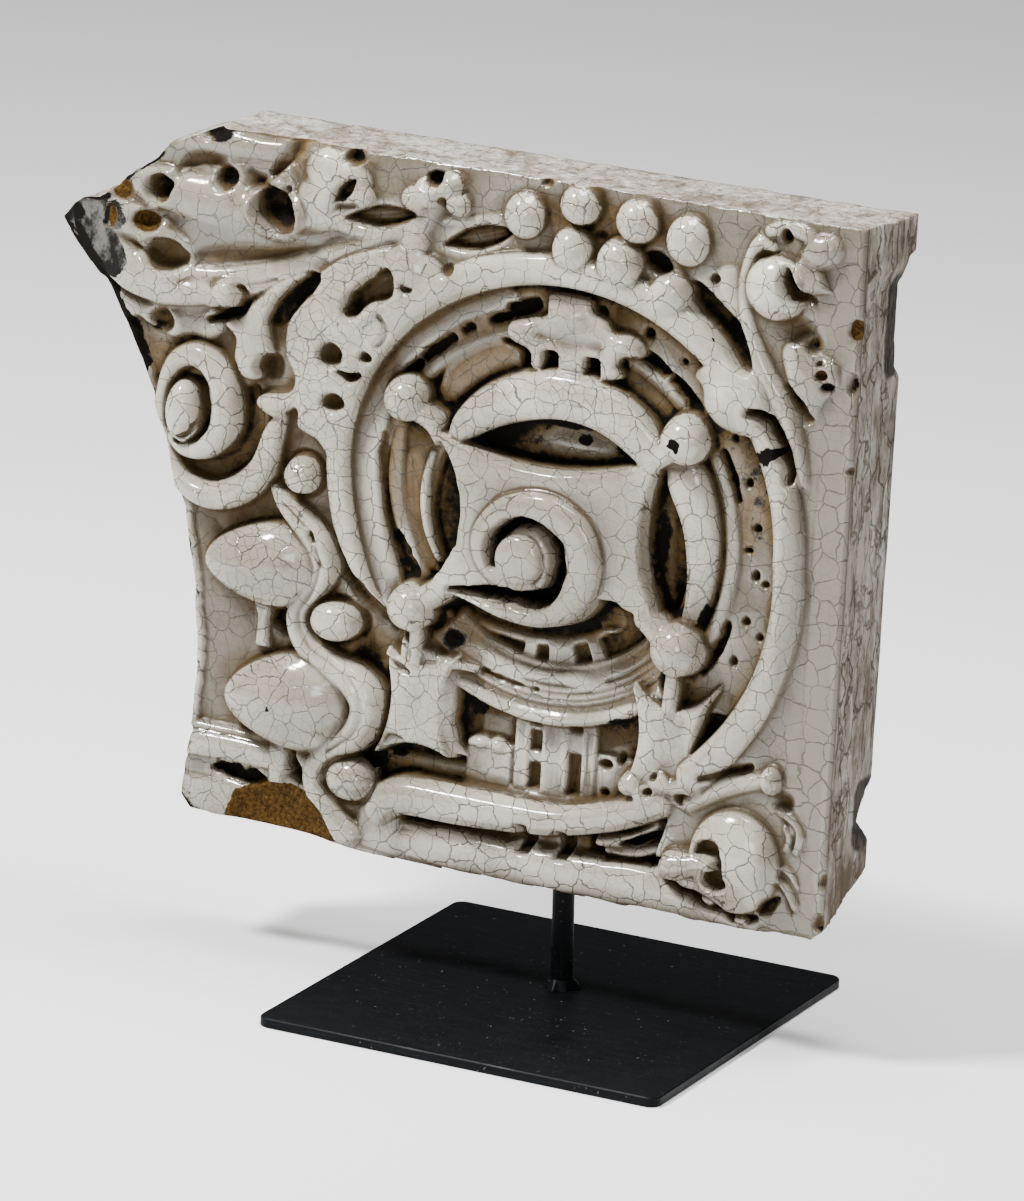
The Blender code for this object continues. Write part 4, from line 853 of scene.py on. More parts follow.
def paint_stains_and_shade(r):
    """Soot, brown stain and grey film, with the shade and shadow painted in them, as fields that the shaders fray.
    """
    x, z = r.x, r.z
    stain_and_shade, soot_and_shadow = r.mask("stain_and_shade"), r.mask("soot_and_shadow")
    dx, dz = x - HUB[0], z - HUB[1]
    radius, angle = np.hypot(dx, dz), np.degrees(np.arctan2(dz, dx)) % 360
    rim = ring_radius(np.where(angle > 300, angle - 360, angle))
    inside = smooth((rim - 4 - radius) / 8) * (angle < 226) + smooth((128 - radius) / 8) * (angle >= 226)
    lay(stain_and_shade, 0.62 * np.clip(inside, 0, 1) * smooth((r.y - 3) / 7))
    near_pod = smooth((x + 92) / 16) * smooth((86 - z) / 16) * smooth((r.y - 3) / 3)
    lay(stain_and_shade, 0.50 * near_pod)
    near_curl = smooth((x + 70) / 16) * smooth((z - 330) / 20) * smooth((r.y - 3) / 3)
    lay(stain_and_shade, 0.50 * near_curl)
    field = smooth((-340 - x) / 12) * smooth((250 - z) / 20) * smooth((z - 60) / 6)
    lay(stain_and_shade, 0.05 * field * smooth((r.y - 3.5) / 3))
    upper = smooth((z - 395) / 15) * smooth((r.y + 2) / 6)
    lay(stain_and_shade, 0.60 * upper)
    corner = smooth((z - 318) / 12) * smooth((-360 - x) / 20) * smooth((r.y + 3.5) / 8.5)
    lay(stain_and_shade, 0.64 * corner)
    pit = smooth((x + 112) / 12) * smooth((radius - 124) / 4) * smooth((rim - 8 - radius) / 4) * (angle < 60)
    lay(stain_and_shade, 0.60 * pit)
    below = smooth((x + 318) / 10) * smooth((-130 - x) / 10) * smooth((118 - z) / 8) * smooth((z - 24) / 4)
    lay(stain_and_shade, 0.22 * below * smooth((r.y - 5) / 5))
    # soot, and black painted shadow in the star's side openings and under the left shield
    for px, pz, wide, high, tilt, strength in (
            (-244, 285, 22, 8, 0, 1), (-150, 288, 9, 7, 0, 0.9), (-196, 297, 18, 3.5, 0, 0.8),
            (-212, 290, 3, 2.5, 0, 0.7), (-182, 288, 4, 3, 0, 0.8), (-478, 316, 8, 6, 0, 0.5),
            (-474, 302, 16, 14, 0, 0.36), (-312, 62, 6, 6, 0, 0.9), (-298, 67, 6, 3, 0, 0.6),
            (-404, 37, 20, 5, 0, 0.8), (-46, 412, 3, 4, 0, 0.8), (-51.5, 438.5, 4, 5, 0, 0.9),
            (-136, 409, 6, 3, 0, 0.8), (-86, 372, 10, 5, -40, 0.7), (-340, 445, 7, 6, 0, 0.7),
            (-288, 440, 7, 5, 0, 0.8), (-246, 108, 5, 7, 0, 0.8), (-148, 112, 10, 8, 30, 0.5),
            (-128, 42, 10, 3, 25, 0.7), (-72, 20, 9, 3, -20, 0.7), (-112, 146, 7, 7, 0, 0.8),
            (-262, 148, 7, 6, 0, 0.6), (-300, 190, 5, 4, -50, 0.5), (-95, 196, 4, 10, 0, 0.8),
            (-268, 230, 5, 30, 0, 0.6), (-128, 232, 4, 26, 0, 0.6)):
        r.spot("soot_and_shadow", px, pz, wide, high, tilt, strength)
    lay(soot_and_shadow, 0.27 * pit)
    soot_and_shadow *= smooth((r.y - 1.5) / 4)
    # a dark line down the left edge, painted shade of the side that turns away; higher up, a wider band of soot and
    # painted shade
    edge = left_edge(z, 0)
    near = x - edge + 2.5 * rough(x, z, 8, 73, 3)
    lay(soot_and_shadow, (0.30 + 0.4 * smooth((z - 250) / 20)) * smooth((2.5 - near) / 2.5) * smooth((344 - z) / 10))
    lay(soot_and_shadow, smooth((7 - near) / 5) * smooth((z - 284) / 12) * smooth((378 - z) / 10))
    lay(soot_and_shadow, 0.34 * smooth((z - 444) / 5) * smooth((-395 - x) / 30))
    lay(soot_and_shadow, 0.42 * smooth((2 - z) / 2.5))
    for px, pz, wide, high, tilt, strength in (
            (-111, 303, 3, 1.6, -20, 1), (-110, 300, 1.4, 3.2, 0, 1), (-113.5, 300.5, 2.6, 1, 0, 1),
            (-53, 303, 6, 2.6, 20, 1.3), (-57, 301.5, 2.6, 2.6, 0, 1.3), (-436, 446, 8, 4, 0, 0.8),
            (-436, 14, 6, 6, 0, 0.9), (-1, 10, 3, 3, 0, 0.4), (-3, 353, 3, 6, 0, 0.5), (-29, 374, 4, 3, 0, 0.45),
            (-18.5, 350, 3, 2, 0, 0.8), (-500, 409, 13, 2.4, 38, 0.7), (-481, 423, 12, 2, 38, 0.7),
            (-524, 393, 12, 3, 12, 0.8), (-540, 378, 5, 5, 0, 0.8), (-531, 361, 15, 3.2, -45, 0.9),
            (-518, 349, 12, 4, -45, 0.9), (-512, 384, 3, 9, -20, 0.6), (-375, 90, 1.2, 2, 0, 0.9),
            (-264, 236, 3, 3, 0, 0.9), (-264, 214, 3, 4, 0, 0.9), (-436, 14, 4, 8, 0, 0.8),
            (-250, 388, 1.2, 0.8, 0, 0.9), (-94, 368, 0.8, 0.8, 0, 1)):
        r.spot("soot_and_shadow", px, pz, wide, high, tilt, strength)
    for px, pz, wide, high, tilt, strength in (
            (-311, 250, 5, 26, 0, 1), (-303, 232, 4, 26, 0, 0.9), (-200, 281, 22, 8, 0, 0.8),
            (-262, 148, 14, 12, 0, 0.8), (-206, 130, 22, 3, 0, 0.7), (-250, 152, 16, 10, 0, 0.7),
            (-173, 269, 3, 2, 20, 1), (-128, 230, 6, 30, 0, 0.8), (-96, 196, 6, 12, 0, 0.8),
            (-502, 401, 9, 8, 0, 1), (-482, 385, 10, 7, 0, 1), (-506, 384, 4, 9, 0, 1), (-258, 102, 8, 22, 0, 0.7),
            (-240, 96, 12, 8, 0, 0.8), (-290, 62, 14, 8, 0, 0.9), (-250, 62, 30, 4, 0, 0.6),
            (-100, 86, 12, 5, 0, 0.6), (-3, 387, 4, 6, 0, 1), (-24, 357, 3, 4, 0, 1), (-100, 130, 8, 14, 0, 0.5),
            (-330, 360, 10, 10, 40, 0.6), (-434, 446, 8, 4, 0, 0.8), (-150, 300, 12, 20, 40, 0.4),
            (-326, 132, 6, 20, 30, 0.8), (-320, 20, 8, 4, 0, 0.5), (-370, 182, 5, 7, 0, 1),
            (-467, 365, 12, 9, 0, 0.6), (-473, 407, 9, 8, 0, 0.8), (-461, 415, 5, 6, 0, 0.9),
            (-448, 427, 14, 7, 0, 0.6), (-434, 424, 9, 6, 0, 0.6), (-388, 401, 12, 9, -38, 0.8),
            (-384, 350, 12, 8, 40, 0.6), (-446, 382, 22, 7, -14, 0.4), (-382, 440, 11, 13, -30, 0.8),
            (-340, 440, 12, 9, 0, 0.6), (-50, 378, 12, 9, 0, 0.6), (-29, 374, 6, 5, 0, 1),
            (-470, 300, 22, 18, 0, 0.7), (-471, 321, 9, 9, 0, 0.9), (-480, 312, 12, 8, 0, 0.6),
            (-2, 12, 6, 6, 0, 0.8)):
        r.spot("stain_and_shade", px, pz, wide, high, tilt, strength)
    # floors kept paler than their depth would make them: less stain here also lightens the painted shade
    for px, pz, wide, high, tilt, share in (
            (-186, 286, 36, 14, 0, -1.1), (-195, 140, 60, 26, 0, -0.85), (-195, 80, 70, 44, 0, -0.6),
            (-430, 130, 50, 110, 0, -0.2), (-131, 232, 7, 34, 0, -1), (-240, 60, 60, 10, 0, -0.6),
            (-436, 228, 16, 10, 0, -0.8), (-355, 222, 16, 40, 0, -0.5), (-268, 236, 8, 30, 0, -0.6),
            (-326, 362, 16, 12, 40, -0.7), (-220, 30, 70, 8, 0, -1.2), (-300, 200, 9, 16, 0, -0.4),
            (-256, 409, 24, 8, 18, -0.35), (-322, 411, 24, 8, 9, -0.35), (-84, 376, 14, 10, -45, -0.4)):
        pick, radius, _ = r.oval(px, pz, wide, high, tilt, 1)
        stain_and_shade[pick] += share * smooth(2 - 2 * np.clip(radius, 0, 1))
    # grey film of dirt, worn off high rounded forms; it is also painted shade on the front-facing flats
    film_and_shade = 0.50 + 0.25 * rough(x, z, 60, 71, 3)
    lay(film_and_shade, smooth((x + 46) / 10))
    star = smooth((74 - np.hypot(dx, dz)) / 10) * smooth((2 - r.y) / 2)
    lay(film_and_shade, 0.88 * star)
    for px, pz, wide, high in ((-393, 177, 41, 27), (-371, 91.5, 45, 32)):
        pick, egg, _ = r.oval(px, pz, wide, high, 4, 1)
        film_and_shade[pick] = np.maximum(film_and_shade[pick], 0.82 * smooth(4 - 4 * np.clip(egg, 0, 1)))
    lay(film_and_shade, smooth((z - 356) / 20) * smooth((-350 - x) / 30))
    lay(film_and_shade, pit)
    r.mask("film_and_shade")[:] = np.clip(film_and_shade, 0, 1)
    # film and painted shade thinned over these forms, the crescent and beads among them
    for px, pz, wide, high, tilt, share in (
            (-190, 318, 66, 30, 0, 1), (-188, 396, 70, 18, 0, 0.6), (-195, 140, 66, 30, 0, 0.9),
            (-195, 80, 60, 40, 0, 0.7), (-285, 105, 30, 36, 0, 0.7), (-112, 110, 28, 34, 0, 0.5),
            (-230, 12, 100, 18, 0, 0.6), (-60, 60, 30, 24, 0, 0.4), (-340, 360, 46, 40, 40, 0.6),
            (-480, 345, 30, 12, -10, 0.3), (-62, 404, 20, 18, 0, 0.5), (-168, 424, 80, 26, 0, 0.45),
            (-78, 340, 24, 24, 0, 0.6)):
        pick, radius, _ = r.oval(px, pz, wide, high, tilt, 1)
        r.mask("film_and_shade")[pick] *= 1 - share * smooth(1.6 - 1.6 * np.clip(radius, 0, 1))


def panel_arrays(columns, rows, levels):
    """Vertices, faces, face materials and masks of the whole panel.

    The body is a map of three shares u, v, w (across, up, back): x runs between left_edge and
    right_edge, z between foot_edge and top_edge, and y between the carved face and back_face."""
    u, v = np.meshgrid(np.linspace(0, 1, columns), np.linspace(0, 1, rows))

    def place(u, v, w):
        foot = foot_edge(u, w)
        z = foot + (top_edge(u, w) - foot) * v
        left = left_edge(z, w)
        return left + (right_edge(z, w) - left) * u, z

    x, z = place(u, v, 0)
    relief = carve(x, z)
    carved, softened = relief.y.reshape(x.shape), 0.75
    y = blur(carved, 1) * softened + carved * (1 - softened)
    xb, zb = place(u, v, 1)
    yb = np.maximum(back_face(xb, zb), y + THINNEST)
    index = np.arange(rows * columns).reshape(rows, columns)
    border = np.concatenate([index[0, :], index[1:, -1], index[-1, -2::-1], index[-2:0:-1, 0]])
    # levels through the thickness, closer together near the face
    share = np.linspace(0, 1, levels + 1)[1:-1]**1.4
    bu, bv = u.ravel()[border], v.ravel()[border]
    side = []
    for w in share:
        sx, sz = place(bu, bv, w)
        front, back = y.ravel()[border], yb.ravel()[border]
        side.append(np.stack([sx, front + (back - front) * w, sz], 1))
    front = np.stack([x.ravel(), y.ravel(), z.ravel()], 1)
    back = np.stack([xb.ravel(), yb.ravel(), zb.ravel()], 1)
    points = np.vstack([front, *side, back])
    cells = np.stack([index[:-1, :-1], index[:-1, 1:], index[1:, 1:], index[1:, :-1]], -1).reshape(-1, 4)
    count, loop = rows * columns, len(border)
    rings = [border] + [count + k * loop + np.arange(loop) for k in range(len(share))]
    rings.append(border + count + len(share) * loop)
    strips = [np.stack([a, b, np.roll(b, -1), np.roll(a, -1)], 1) for a, b in zip(rings[:-1], rings[1:])]
    far = cells[:, ::-1] + count + len(share) * loop
    faces = np.vstack([cells, *strips, far])
    kinds = np.concatenate([np.zeros(len(cells), int), np.ones(len(faces) - len(cells), int)])
    # how far a place lies below the mean of a window of cells about it, narrow to wide; the glaze paints shade by
    # them
    for name, reach, full in (("crease", 2, 1.6), ("hollow", 7, 6), ("basin", 22, 10)):
        relief.masks[name] = np.clip((y - blur(y, reach)) / full, -1, 1).ravel()
    relief.masks["depth"] = np.clip(y / DEEP, -1, 1.5).ravel()
    rest = np.zeros(len(points) - count)
    masks = {name: np.concatenate([field, rest]) for name, field in relief.masks.items()}
    return points, faces, kinds, masks


def mesh_from(name, points, faces, kinds=None, masks=None):
    """Mesh of quads from whole arrays, points in metres."""
    mesh = bpy.data.meshes.new(name)
    mesh.vertices.add(len(points))
    mesh.vertices.foreach_set("co", np.ascontiguousarray(points, dtype=np.float32).ravel())
    mesh.loops.add(faces.size)
    mesh.loops.foreach_set("vertex_index", np.ascontiguousarray(faces, dtype=np.int32).ravel())
    mesh.polygons.add(len(faces))
    mesh.polygons.foreach_set("loop_start", np.arange(0, faces.size, faces.shape[1], dtype=np.int32))
    if kinds is not None:
        mesh.polygons.foreach_set("material_index", kinds.astype(np.int32))
    mesh.update(calc_edges=True)
    for label, field in (masks or {}).items():
        layer = mesh.attributes.new(label, "FLOAT", "POINT")
        layer.data.foreach_set("value", field.astype(np.float32))
    return mesh


def add_piece(name, mesh, materials, body, slot, *nodes):
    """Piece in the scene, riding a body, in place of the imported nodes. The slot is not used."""
    piece = bpy.data.objects.new(name, mesh)
    bpy.context.scene.collection.objects.link(piece)
    for material in materials:
        mesh.materials.append(material)
    mesh.polygons.foreach_set("use_smooth", np.ones(len(mesh.polygons), bool))
    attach(piece, body)
    if nodes:
        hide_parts(*nodes)
    return piece


def thinned(piece, most):
    """Collapse the piece's mesh to at most that many triangles, keeping its masks."""
    triangles = len(piece.data.loops) - 2 * len(piece.data.polygons)
    modifier = piece.modifiers.new("Thin out", "DECIMATE")
    modifier.ratio = most / triangles
    modifier.use_collapse_triangulate = True
    depsgraph = bpy.context.evaluated_depsgraph_get()
    mesh = bpy.data.meshes.new_from_object(piece.evaluated_get(depsgraph), preserve_all_data_layers=True,
                                           depsgraph=depsgraph)
    piece.modifiers.remove(modifier)
    old, piece.data = piece.data, mesh
    bpy.data.meshes.remove(old)
    piece.data.name = piece.name
    return piece


# ---------------------------------------------------------------- shader groups

# colours of the glaze, its dirt and the shade and shadow painted into it, of the bare body and of the steel
CLOUDED = (0.26, 0.225, 0.165)
# grey film of dirt that is also painted shade round the forms and on front-facing flats
FILM_AND_SHADE = (0.140, 0.118, 0.085)
# painted shade of the hollows
HOLLOW_SHADE = (0.060, 0.050, 0.036)
TAN = (0.130, 0.103, 0.064)
OCHRE = (0.190, 0.112, 0.034)
BROWN = (0.085, 0.049, 0.014)
CRAZING = (0.036, 0.029, 0.020)
FINE_CRAZING = (0.075, 0.062, 0.042)
# dirt with painted shade along the creases
CREASE_DIRT_AND_SHADE = (0.050, 0.031, 0.012)
# soot, also painted black shadow in the deepest hollows
SOOT_AND_SHADOW = (0.005, 0.004, 0.003)
BREAK_DARK = (0.012, 0.011, 0.009)
BREAK_PALE = (0.13, 0.125, 0.115)
CLAY_DARK = (0.022, 0.011, 0.003)
CLAY = (0.095, 0.050, 0.012)
CLAY_SAND = (0.30, 0.22, 0.10)
SLIP = (0.35, 0.32, 0.28)
SLIP_SHADE = (0.17, 0.140, 0.108)
SMEAR = (0.085, 0.058, 0.037)
SLIP_PALE = (0.50, 0.47, 0.43)
RUST = (0.060, 0.040, 0.026)
SLIP_BRIGHT = (0.52, 0.49, 0.45)
CRACK = (0.045, 0.030, 0.020)
DAMP = (0.085, 0.058, 0.036)
# char and painted shadow of the body's chipped notches
CHAR_AND_SHADOW = (0.012, 0.010, 0.008)
PALE_CHAR_AND_SHADOW = (0.07, 0.055, 0.04)
STEEL_CLOUD = (0.004, 0.005, 0.006)
STEEL_BRUSHED = (0.010, 0.012, 0.014)
STEEL_SPECK = (0.16, 0.17, 0.17)


class Paint:
    """Adds nodes to one material or group: values may be numbers or the sockets that feed them."""

    def __init__(self, tree, groups=None):
        self.tree, self.groups = tree, groups

    def set(self, node, inputs):
        """Feed a node's inputs by name or number, and give its outputs."""
        for name, value in inputs.items():
            if isinstance(value, bpy.types.NodeSocket):
                self.tree.links.new(value, node.inputs[name])
            else:
                node.inputs[name].default_value = value
        return node.outputs

    def node(self, kind, inputs=None, **settings):
        """Outputs of a new shader node of that kind."""
        node = self.tree.nodes.new("ShaderNode" + kind)
        for name, value in settings.items():
            setattr(node, name, value)
        return self.set(node, inputs or {})

    def math(self, operation, a, b):
        return self.node("Math", {0: a, 1: b}, operation=operation)[0]

    def plus(self, a, *more):
        for b in more:
            a = self.math("ADD", a, b)
        return a

    def times(self, a, b):
        return self.math("MULTIPLY", a, b)

    def most(self, a, *more):
        for b in more:
            a = self.math("MAXIMUM", a, b)
        return a

    def ramp(self, value, low, high, start=0, end=1):
        """Smooth step of the value between low and high, put out between start and end."""
        return self.node("MapRange", {"Value": value, "From Min": low, "From Max": high, "To Min": start,
                                      "To Max": end}, interpolation_type="SMOOTHSTEP")[0]

    def window(self, value, low, high, edge):
        """1 where the value lies between low and high, faded over the edge at either end."""
        return self.times(self.ramp(value, low, low + edge), self.ramp(value, high - edge, high, 1, 0))

    def mix(self, share, a, b):
        """Colour a where the share is 0, and b where it is 1."""
        ends = {key: colour if isinstance(colour, bpy.types.NodeSocket) else (*colour, 1)
                for key, colour in ((6, a), (7, b))}
        return self.node("Mix", {"Factor": share, **ends}, data_type="RGBA")[2]

    def noise(self, vector, scale, detail, roughness=0.5, output=0):
        return self.node("TexNoise", {"Vector": vector, "Scale": scale, "Detail": detail,
                                      "Roughness": roughness})[output]

    def attribute(self, name):
        return self.node("Attribute", attribute_name=name)["Fac"]

    def group(self, name, **inputs):
        """Outputs of a node group; underscores in the inputs' names stand for spaces."""
        node = self.tree.nodes.new("ShaderNodeGroup")
        node.node_tree = self.groups[name]
        return self.set(node, {label.replace("_", " "): value for label, value in inputs.items()})

    def frayed_mask(self, place, field, low, high, fray, grain):
        """Frayed mask of where the field passes from low to high."""
        return self.group("frayed_mask", Vector=place, Field=field, Low=low, High=high, Fray=fray, Grain=grain)["Mask"]


def new_group(name, inputs, outputs):
    """Empty node group: its Paint, the sockets it is given and the sockets it puts out."""
    group = bpy.data.node_groups.new(name, "ShaderNodeTree")
    for label, kind, value in inputs:
        socket = group.interface.new_socket(label, in_out="INPUT", socket_type="NodeSocket" + kind)
        if value is not None:
            socket.default_value = value
    for label in outputs:
        group.interface.new_socket(label, in_out="OUTPUT", socket_type="NodeSocketFloat")
    return Paint(group), group.nodes.new("NodeGroupInput").outputs, group.nodes.new("NodeGroupOutput").inputs


def crackle_group():
    """Crazing: edges of flat cells over the face, bent by noise, thick in one place and faint in
    the next. Depth shifts the cells along so that walls carry lines too."""
    paint, given, out = new_group(
        "crackle", (("Vector", "Vector", None), ("Cells per metre", "Float", 70), ("Width", "Float", 0.05),
                    ("Bend", "Float", 0.004)), ("Line", "Tone"))
    wander = paint.noise(given["Vector"], 75, 4, output="Color")
    shift = paint.node("VectorMath", {0: wander, 1: (0.5, 0.5, 0.5)}, operation="SUBTRACT")[0]
    bent = paint.node("VectorMath", {0: shift, "Scale": given["Bend"]}, operation="SCALE")[0]
    where = paint.node("VectorMath", {0: given["Vector"], 1: bent}, operation="ADD")[0]
    across, back, up = paint.node("SeparateXYZ", {"Vector": where})
    flat = paint.node("CombineXYZ", {"X": paint.plus(across, paint.times(back, 0.65)),
                                     "Y": paint.plus(up, paint.times(back, 0.55))})[0]
    edge, cell = (paint.node("TexVoronoi", {"Vector": flat, "Scale": given["Cells per metre"], "Randomness": 0.85},
                             feature=kind, voronoi_dimensions="2D") for kind in ("DISTANCE_TO_EDGE", "F1"))
    patch = paint.noise(given["Vector"], 30, 5, 0.6)
    width = paint.times(given["Width"], paint.ramp(patch, 0.36, 0.62, 0.45, 1.35))
    line = paint.math("DIVIDE", edge["Distance"], width)
    tone = paint.node("SeparateColor", {"Color": cell["Color"]})[0]
    paint.tree.links.new(paint.ramp(line, 0.2, 1, 1, 0), out["Line"])
    paint.tree.links.new(tone, out["Tone"])
    return paint.tree


def frayed_mask_group():
    """Mask from a painted or carved field, frayed by noise: dirt, and painted shade and shadow."""
    paint, given, out = new_group(
        "frayed_mask", (("Vector", "Vector", None), ("Field", "Float", 0), ("Low", "Float", 0.2), ("High", "Float", 0.6),
                  ("Fray", "Float", 0.4), ("Grain", "Float", 90)), ("Mask",))
    centred = paint.math("SUBTRACT", paint.noise(given["Vector"], given["Grain"], 6, 0.65), 0.5)
    field = paint.plus(given["Field"], paint.times(centred, given["Fray"]))
    paint.tree.links.new(paint.ramp(field, given["Low"], given["High"]), out["Mask"])
    return paint.tree


def start_material(name, groups=None):
    """New material: itself, its Paint, its Principled shader and the object's coordinates."""
    material = bpy.data.materials.new(name)
    material.use_nodes = True
    paint = Paint(material.node_tree, groups)
    return material, paint, material.node_tree.nodes["Principled BSDF"], paint.node("TexCoord")["Object"]


def finish_material(paint, shader, height, strength, distance, **sockets):
    """Feed the shader's sockets, and its normal from a bump of the height, distance in metres."""
    bump = paint.node("Bump", {"Height": height, "Strength": strength, "Distance": distance})[0]
    paint.set(shader, {"Normal": bump, **{name.replace("_", " "): value for name, value in sockets.items()}})


def glaze_material(groups, settings):
    """Cream glaze over terracotta: crazed, stained brown and black, painted with shade and shadow in its hollows,
    chipped to clay.
    """
    material, paint, shader, place = start_material("glazed_terracotta_aged", groups)
    mix, ramp, times = paint.mix, paint.ramp, paint.times
    crease, hollow, depth, basin, stain_and_shade, painted_film_and_shade, soot_and_shadow_field, fracture, bare_clay = map(
        paint.attribute, ("crease", "hollow", "depth", "basin", "stain_and_shade", "film_and_shade", "soot_and_shadow", "fracture", "clay"))
    lines = paint.group("crackle", Vector=place, Cells_per_metre=76, Width=0.042, Bend=0.010)
    fine = paint.group("crackle", Vector=place, Cells_per_metre=150, Width=0.060, Bend=0.007)
    patch = paint.noise(place, 9, 5, 0.6)
    cloud = paint.noise(place, 38, 9, 0.72)
    grain = paint.noise(place, 420, 6, 0.75)
    body = mix(ramp(patch, 0.35, 0.7), tuple(settings.glaze_colour), tuple(settings.glaze_shade))
    body = mix(ramp(cloud, 0.46, 0.72, 0, 0.45), body, CLOUDED)
    toned = paint.node("HueSaturation", {"Color": body, "Value": ramp(lines["Tone"], 0, 1, 0.95, 1.04)})[0]
    # how low and how stained a place is, low places taken as shaded; film, shade, tan, brown and black lie over it
    # in turn
    low = paint.plus(times(hollow, 0.50), times(depth, 0.25), times(basin, 0.35), times(crease, 0.35),
                     times(stain_and_shade, 0.40))
    film_and_shade = paint.math("MINIMUM", paint.plus(ramp(low, -0.35, 0.40), times(painted_film_and_shade, 0.85)), 1.11)
    # film of dirt with painted shade round the forms and in the hollows
    toned = mix(times(film_and_shade, 0.86), toned, FILM_AND_SHADE)
    # painted shade, deeper as the ground lies lower and more stained
    toned = mix(ramp(low, 0, 0.42, 0, 0.56), toned, HOLLOW_SHADE)
    tan = paint.frayed_mask(place, low, -0.04, 0.50, 1.2, 60)
    warm = mix(ramp(stain_and_shade, 0.35, 0.80), TAN, OCHRE)
    toned = mix(times(tan, 0.75), toned, warm)
    brown = paint.frayed_mask(place, low, 0.30, 0.95, 1.3, 120)
    toned = mix(times(brown, 0.90), toned, BROWN)
    # crazing, dense where the ground is low, and dirt with painted shade along the creases
    toned = mix(times(lines["Line"], 0.86), toned, CRAZING)
    dense = paint.most(ramp(patch, 0.42, 0.62, 0.1, 0.7), ramp(low, 0.04, 0.22, 0, 0.9))
    toned = mix(times(fine["Line"], dense), toned, FINE_CRAZING)
    toned = mix(times(ramp(crease, 0.10, 0.45), 0.7), toned, CREASE_DIRT_AND_SHADE)
    # broken stone, black painted shadow in the deepest hollows, soot, and bare clay
    black = paint.frayed_mask(place, low, 0.92, 1.45, 1.3, 170)
    soot_and_shadow = paint.frayed_mask(place, soot_and_shadow_field, 0.26, 0.36, 0.6, 160)
    broken = paint.frayed_mask(place, fracture, 0.35, 0.55, 0.4, 120)
    clay_mask = paint.frayed_mask(place, bare_clay, 0.38, 0.5, 0.25, 120)
    toned = mix(broken, toned, mix(ramp(cloud, 0.46, 0.62), BREAK_DARK, BREAK_PALE))
    dark = paint.most(black, soot_and_shadow)
    toned = mix(dark, toned, SOOT_AND_SHADOW)
    clay = mix(ramp(grain, 0.35, 0.65), CLAY_DARK, CLAY)
    clay = mix(ramp(grain, 0.64, 0.72, 0, 0.7), clay, CLAY_SAND)
    toned = mix(clay_mask, toned, clay)
    # gloss is lost under dirt; the specular level follows the carved and painted fields alone
    dull = paint.most(paint.plus(times(brown, 0.4), times(tan, 0.35)), paint.most(dark, clay_mask), broken)
    rough_value = paint.node("Mix", {0: dull, 2: ramp(cloud, 0.3, 0.75, 0.07, 0.20), 3: 0.8}, data_type="FLOAT")[0]
    bare = paint.most(ramp(soot_and_shadow_field, 0.26, 0.36), ramp(bare_clay, 0.38, 0.5), ramp(fracture, 0.35, 0.55))
    sheen = paint.math("MINIMUM", ramp(low, -0.04, 1.15, 0.8, 0.05), ramp(bare, 0, 1, 0.8, 0.05))
    ripple = paint.noise(place, 130, 3)
    height = paint.math("SUBTRACT", times(ripple, 0.35), times(lines["Line"], 0.45))
    height = paint.plus(height, times(grain, paint.plus(times(dull, 1.2), 0.04)))
    finish_material(paint, shader, height, 0.5, 0.0008, Base_Color=toned, Roughness=rough_value,
                    Specular_IOR_Level=sheen)
    return material


